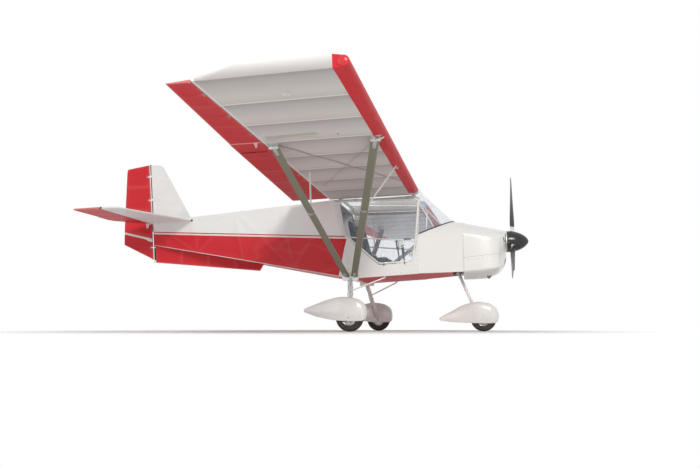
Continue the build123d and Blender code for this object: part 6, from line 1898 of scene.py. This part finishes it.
def add_belts(form):
    """Lap and shoulder straps lying on the pads, with a buckle on each seat."""
    routes = (([(0.745, 0.04, 0.905), (0.8, 0.075, 0.937), (0.85, 0.15, 0.9465), (0.868, 0.245, 0.948)],
        X_WAY), ([(0.745, 0.484, 0.905), (0.8, 0.45, 0.937), (0.85, 0.375, 0.9465), (0.868, 0.285, 0.948)],
        X_WAY),
        ([(0.56, 0.2, 1.425), (0.606, 0.2, 1.428), (0.652, 0.203, 1.29), (0.712, 0.215, 1.085),
        (0.775, 0.235, 0.958), (0.86, 0.255, 0.9485)], Y_WAY),
        ([(0.56, 0.324, 1.425), (0.606, 0.324, 1.428), (0.652, 0.321, 1.29), (0.712, 0.309, 1.085),
        (0.775, 0.289, 0.958), (0.86, 0.269, 0.9485)], Y_WAY))
    for route, flat in routes:
        rows = smooth_rows(np.column_stack([np.linspace(0, 1, len(route)), route]), np.linspace(0, 1, 40))
        way = unit(np.gradient(rows, axis=0))
        across = unit(flat - (way @ flat)[:, None] * way)
        up = np.cross(way, across)
        up *= np.sign(up @ np.array([0.4, 0, 1.0]))[:, None]
        wide = np.linspace(-0.0225, 0.0225, 7)
        top = rows[:, None] + wide[None, :, None] * across[:, None] + 0.003 * up[:, None]
        form.slab(top, top - 0.0022 * up[:, None], 1)
    form.box((-0.026, -0.034, 0.0), (0.026, 0.034, 0.015), 2, 0.004, (0.868, 0.265, 0.95))
    form.box((-0.014, -0.016, 0.0), (0.014, 0.016, 0.004), 3, 0.002, (0.868, 0.265, 0.9645))


def add_dials():
    """Round instruments, switches and a small screen on the panel's rear face."""
    form = Form()
    for y in (-0.33, -0.22, -0.11, 0.11, 0.22, 0.33):
        for z, size in ((1.185, 0.04), (1.085, 0.029)):
            origin = np.array([1.5285, y, z])
            ring = [(-0.002, size * 0.82), (0.0035, size * 0.84), (0.006, size * 0.92), (0.0035, size),
                (-0.002, size)]
            form.spun(ring, origin, -X_WAY, 40, 0, True)
            form.spun([(0.0002, size * 0.8), (0.0012, size * 0.8), (0.0014, 0.001)], origin, -X_WAY, 40, 0)
            marks = origin + size * 0.66 * circle(turns(12), Z_WAY, Y_WAY) - X_WAY * 0.0014
            form.studs(marks, -X_WAY, 0.0016, 0.0005, 4, 1)
            hand = 0.7 + 9.0 * y
            tip = origin + np.array([-0.002, np.sin(hand), np.cos(hand)]) * [1, size * 0.55, size * 0.55]
            form.rod(origin - X_WAY * 0.002, tip, 0.001, 5, 1)
    form.box((-0.006, -0.055, -0.038), (0.0, 0.055, 0.038), 0, 0.003, (1.5285, 0.0, 1.16))
    form.box((-0.0068, -0.046, -0.029), (0.0, 0.046, 0.029), 2, 0.002, (1.5285, 0.0, 1.16))
    switches = [(1.5285, y, 1.03) for y in np.linspace(-0.12, 0.12, 7)]
    form.studs(switches, -X_WAY, 0.006, 0.003, 8, 3)
    form.studs([(1.524, y, 1.03) for y in np.linspace(-0.12, 0.12, 7)], -X_WAY, 0.0022, 0.01, 8, 3)
    form.build("panel_dials", "airframe", "black_plastic dial_white spinner_gloss steel", (), "black_plastic")


def make_furniture(context):
    """Builds the padded seats, their belts and the instrument panel's dials.

    A pad is half * (1 - |u| ** 5) ** 0.5 * (1 - |v| ** 5) ** 0.5 thick over its length u and width v,
    pulled in at its sides and sewn down by 0.007 along three channels.
    """
    form, seams = Form(), Form()
    width, middle = 0.445, 0.262
    for start, end, thick, length_channels in ((np.array([0.742, 0.0, 0.87]), np.array([1.082, 0.0, 0.896]),
            0.062, (-0.33, 0.33)), (np.array([0.722, 0.0, 0.872]), np.array([0.568, 0.0, 1.404]), 0.064,
            (-0.5, 0.0, 0.5))):
        length, way = np.linalg.norm(end - start), unit(end - start)
        up = np.cross(way, Y_WAY)
        up *= np.sign(up[2]) if way[0] > 0.5 else np.sign(up[0])
        place = lambda u, v, h: (start + (u[..., None] + 1) / 2 * length * way
            + (middle + v[..., None] * width / 2) * Y_WAY + h[..., None] * up)
        s = np.sin(np.linspace(-np.pi / 2, np.pi / 2, 30))
        u, v = np.meshgrid(s * 0.985, s * 0.985, indexing="ij")
        h = 0.5 * thick * np.sqrt((1 - np.abs(s) ** 5)[:, None] * (1 - np.abs(s) ** 5)[None])
        pull_u, pull_v = 1 - 0.018 * (1 - v ** 2), 1 - 0.022 * (1 - u ** 2)
        pad = Form().slab(place(u * pull_u, v * pull_v, h + 1e-4), place(u * pull_u, v * pull_v, -h - 1e-4))
        points, faces = stuffed(pad, 0.009)
        local = points - start - middle * Y_WAY
        a, b, rise = local @ way / length * 2 - 1, local @ Y_WAY / (width / 2), local @ up
        on_top = np.clip(rise / (0.3 * thick), 0, 1)
        dip = sum(np.exp(-((b - c) * width / 2 / 0.006) ** 2) for c in (-0.45, 0.45))
        dip += sum(np.exp(-((a - c) * length / 2 / 0.006) ** 2) * (np.abs(b) < 0.45) for c in length_channels)
        form.add(points - 0.007 * (np.clip(dip, 0, 1) * on_top)[:, None] * up, faces)
        turn = turns(160)
        edge = [np.sign(f(turn)) * np.abs(f(turn)) ** 0.42 for f in (np.cos, np.sin)]
        rim = place(edge[0] * 1.002, edge[1] * 1.002, 0 * turn)
        side = np.cross(unit(np.roll(rim, -1, 0) - np.roll(rim, 1, 0)), up)
        seams.sheet(rim[:, None] + 0.0042 * circle(turns(8), up, side), hoop=True)
    cushions = form.both().build("seat_cushions", "airframe", "seat_cloth", ["seats"], "seat_cloth", sharp=80)
    add_belts(seams)
    seams.both().build("seat_trim", "airframe", "black_plastic belt_webbing steel red_enamel", (),
        "black_plastic")
    add_dials()


class AIRCRAFT_OT_furniture(bpy.types.Operator):
    """Builds the padded seats, their belts and the instrument panel's dials."""

    bl_idname = "aircraft.furniture"
    bl_label = "Seats, belts and dials"

    def execute(self, context):
        make_furniture(context)
        return {"FINISHED"}


def make_floor(context):
    """Pale floor that turns to plain white away from the aircraft."""
    mesh = bpy.data.meshes.new("floor")
    mesh.from_pydata([(-60, -60, 0), (60, -60, 0), (60, 60, 0), (-60, 60, 0)], [], [(0, 1, 2, 3)])
    paint = Paint("floor_paint")
    grain = paint.noise(30.0, 3.0)
    paint.set(Base_Color=paint.mix(grain * 0.04, (0.9, 0.9, 0.9), (0.85, 0.85, 0.85)), Roughness=0.9)
    away = paint.node("VectorMath", {"operation": "LENGTH"}, paint.point, out=1)
    path = paint.nodes.new("ShaderNodeLightPath")
    rays = [Signal(paint, path.outputs[f"Is {kind} Ray"]) for kind in ("Camera", "Glossy", "Transmission")]
    seen = rays[0].maths("MAXIMUM", rays[1]).maths("MAXIMUM", rays[2])
    share = away.step(3.5, 2.2) * seen
    plain = paint.nodes.new("ShaderNodeEmission")
    blend = paint.nodes.new("ShaderNodeMixShader")
    paint.links.new(share.socket, blend.inputs[0])
    paint.links.new(paint.shader.outputs[0], blend.inputs[1])
    paint.links.new(plain.outputs[0], blend.inputs[2])
    paint.links.new(blend.outputs[0], paint.output.inputs[0])
    mesh.materials.append(paint.material)
    floor = bpy.data.objects.new("floor", mesh)
    context.scene.collection.objects.link(floor)


def make_sky(context):
    """Soft even light; what the camera sees past the floor is white."""
    world = bpy.data.worlds.new("sky")
    world.use_nodes = True
    nodes, links = world.node_tree.nodes, world.node_tree.links
    nodes.clear()
    out, blend = nodes.new("ShaderNodeOutputWorld"), nodes.new("ShaderNodeMixShader")
    path = nodes.new("ShaderNodeLightPath")
    light, seen = nodes.new("ShaderNodeBackground"), nodes.new("ShaderNodeBackground")
    light.inputs[0].default_value, light.inputs[1].default_value = (0.93, 0.96, 1.0, 1), 0.4
    seen.inputs[0].default_value, seen.inputs[1].default_value = (1, 1, 1, 1), 1.0
    share = path.outputs["Is Camera Ray"]
    for key in ("Is Glossy Ray", "Is Transmission Ray"):
        either = nodes.new("ShaderNodeMath")
        either.operation = "MAXIMUM"
        links.new(share, either.inputs[0])
        links.new(path.outputs[key], either.inputs[1])
        share = either.outputs[0]
    links.new(share, blend.inputs[0])
    links.new(light.outputs[0], blend.inputs[1])
    links.new(seen.outputs[0], blend.inputs[2])
    links.new(blend.outputs[0], out.inputs[0])
    context.scene.world = world


# Name: place, aim, size, power, colour
LAMPS = {
    "key": ((7.0, -17.0, 10.0), (0.3, 0, 1.2), 5.0, 1900, (1.0, 0.965, 0.92)),
    "fill": ((-6.0, -9.0, 3.0), (-0.5, 0, 1.2), 6.0, 130, (0.97, 0.98, 1.0)),
    "back": ((-3.0, 8.0, 6.0), (0, 0, 1.2), 6.0, 150, (1.0, 1.0, 1.0)),
}


def make_stage(context):
    """Lays the floor and sets the lights, the sky and the camera."""
    make_floor(context)
    make_sky(context)
    for name, (place, aim, size, power, colour) in LAMPS.items():
        lamp = bpy.data.lights.new(name, "AREA")
        lamp.size, lamp.energy, lamp.color = size, power, colour
        held = bpy.data.objects.new(name, lamp)
        held.location = place
        held.rotation_euler = (Vector(aim) - Vector(place)).to_track_quat("-Z", "Y").to_euler()
        context.scene.collection.objects.link(held)
    camera = bpy.data.cameras.new("camera")
    camera.sensor_width = FILM_WIDTH
    camera.lens = FOCAL_PIXELS / PHOTO_WIDTH * FILM_WIDTH
    camera.clip_end = 200.0
    held = bpy.data.objects.new("camera", camera)
    turn, distance = np.radians(11.7), 9.5
    place = Vector((0.49 + np.sin(turn) * distance, -np.cos(turn) * distance, 0.06))
    held.location = place
    held.rotation_euler = (Vector((0.49, 0, 1.285)) - place).to_track_quat("-Z", "Y").to_euler()
    context.scene.collection.objects.link(held)
    context.scene.camera = held
    context.scene.view_settings.view_transform = "Standard"


class AIRCRAFT_OT_stage(bpy.types.Operator):
    """Lays the floor and sets the lights, the sky and the camera."""

    bl_idname = "aircraft.stage"
    bl_label = "Floor, lights and camera"

    def execute(self, context):
        make_stage(context)
        return {"FINISHED"}


PIECES = [AIRCRAFT_OT_paints, AIRCRAFT_OT_wings, AIRCRAFT_OT_flaps, AIRCRAFT_OT_tail, AIRCRAFT_OT_fuselage,
    AIRCRAFT_OT_cowl, AIRCRAFT_OT_propeller, AIRCRAFT_OT_struts, AIRCRAFT_OT_gear, AIRCRAFT_OT_wheels,
    AIRCRAFT_OT_cabin, AIRCRAFT_OT_furniture, AIRCRAFT_OT_stage]


class AIRCRAFT_PT_panel(bpy.types.Panel):
    """Lists the aircraft's sizes, colours and pieces."""

    bl_label = "Aircraft"
    bl_space_type = "VIEW_3D"
    bl_region_type = "UI"
    bl_category = "Aircraft"

    def draw(self, context):
        for group in (context.scene.aircraft_paintwork, context.scene.aircraft_covering):
            for key in group.__annotations__:
                self.layout.prop(group, key)
        for piece in PIECES:
            self.layout.operator(piece.bl_idname)


CLASSES = [Paintwork, Covering, *PIECES, AIRCRAFT_PT_panel]


def register():
    for each in CLASSES:
        bpy.utils.register_class(each)
    bpy.types.Scene.aircraft_paintwork = PointerProperty(type=Paintwork)
    bpy.types.Scene.aircraft_covering = PointerProperty(type=Covering)


def unregister():
    del bpy.types.Scene.aircraft_covering
    del bpy.types.Scene.aircraft_paintwork
    for each in reversed(CLASSES):
        bpy.utils.unregister_class(each)


def main():
    """Builds every piece in order."""
    register()
    for piece in PIECES:
        group, name = piece.bl_idname.split(".")
        getattr(getattr(bpy.ops, group), name)()


if __name__ == "__main__":
    main()
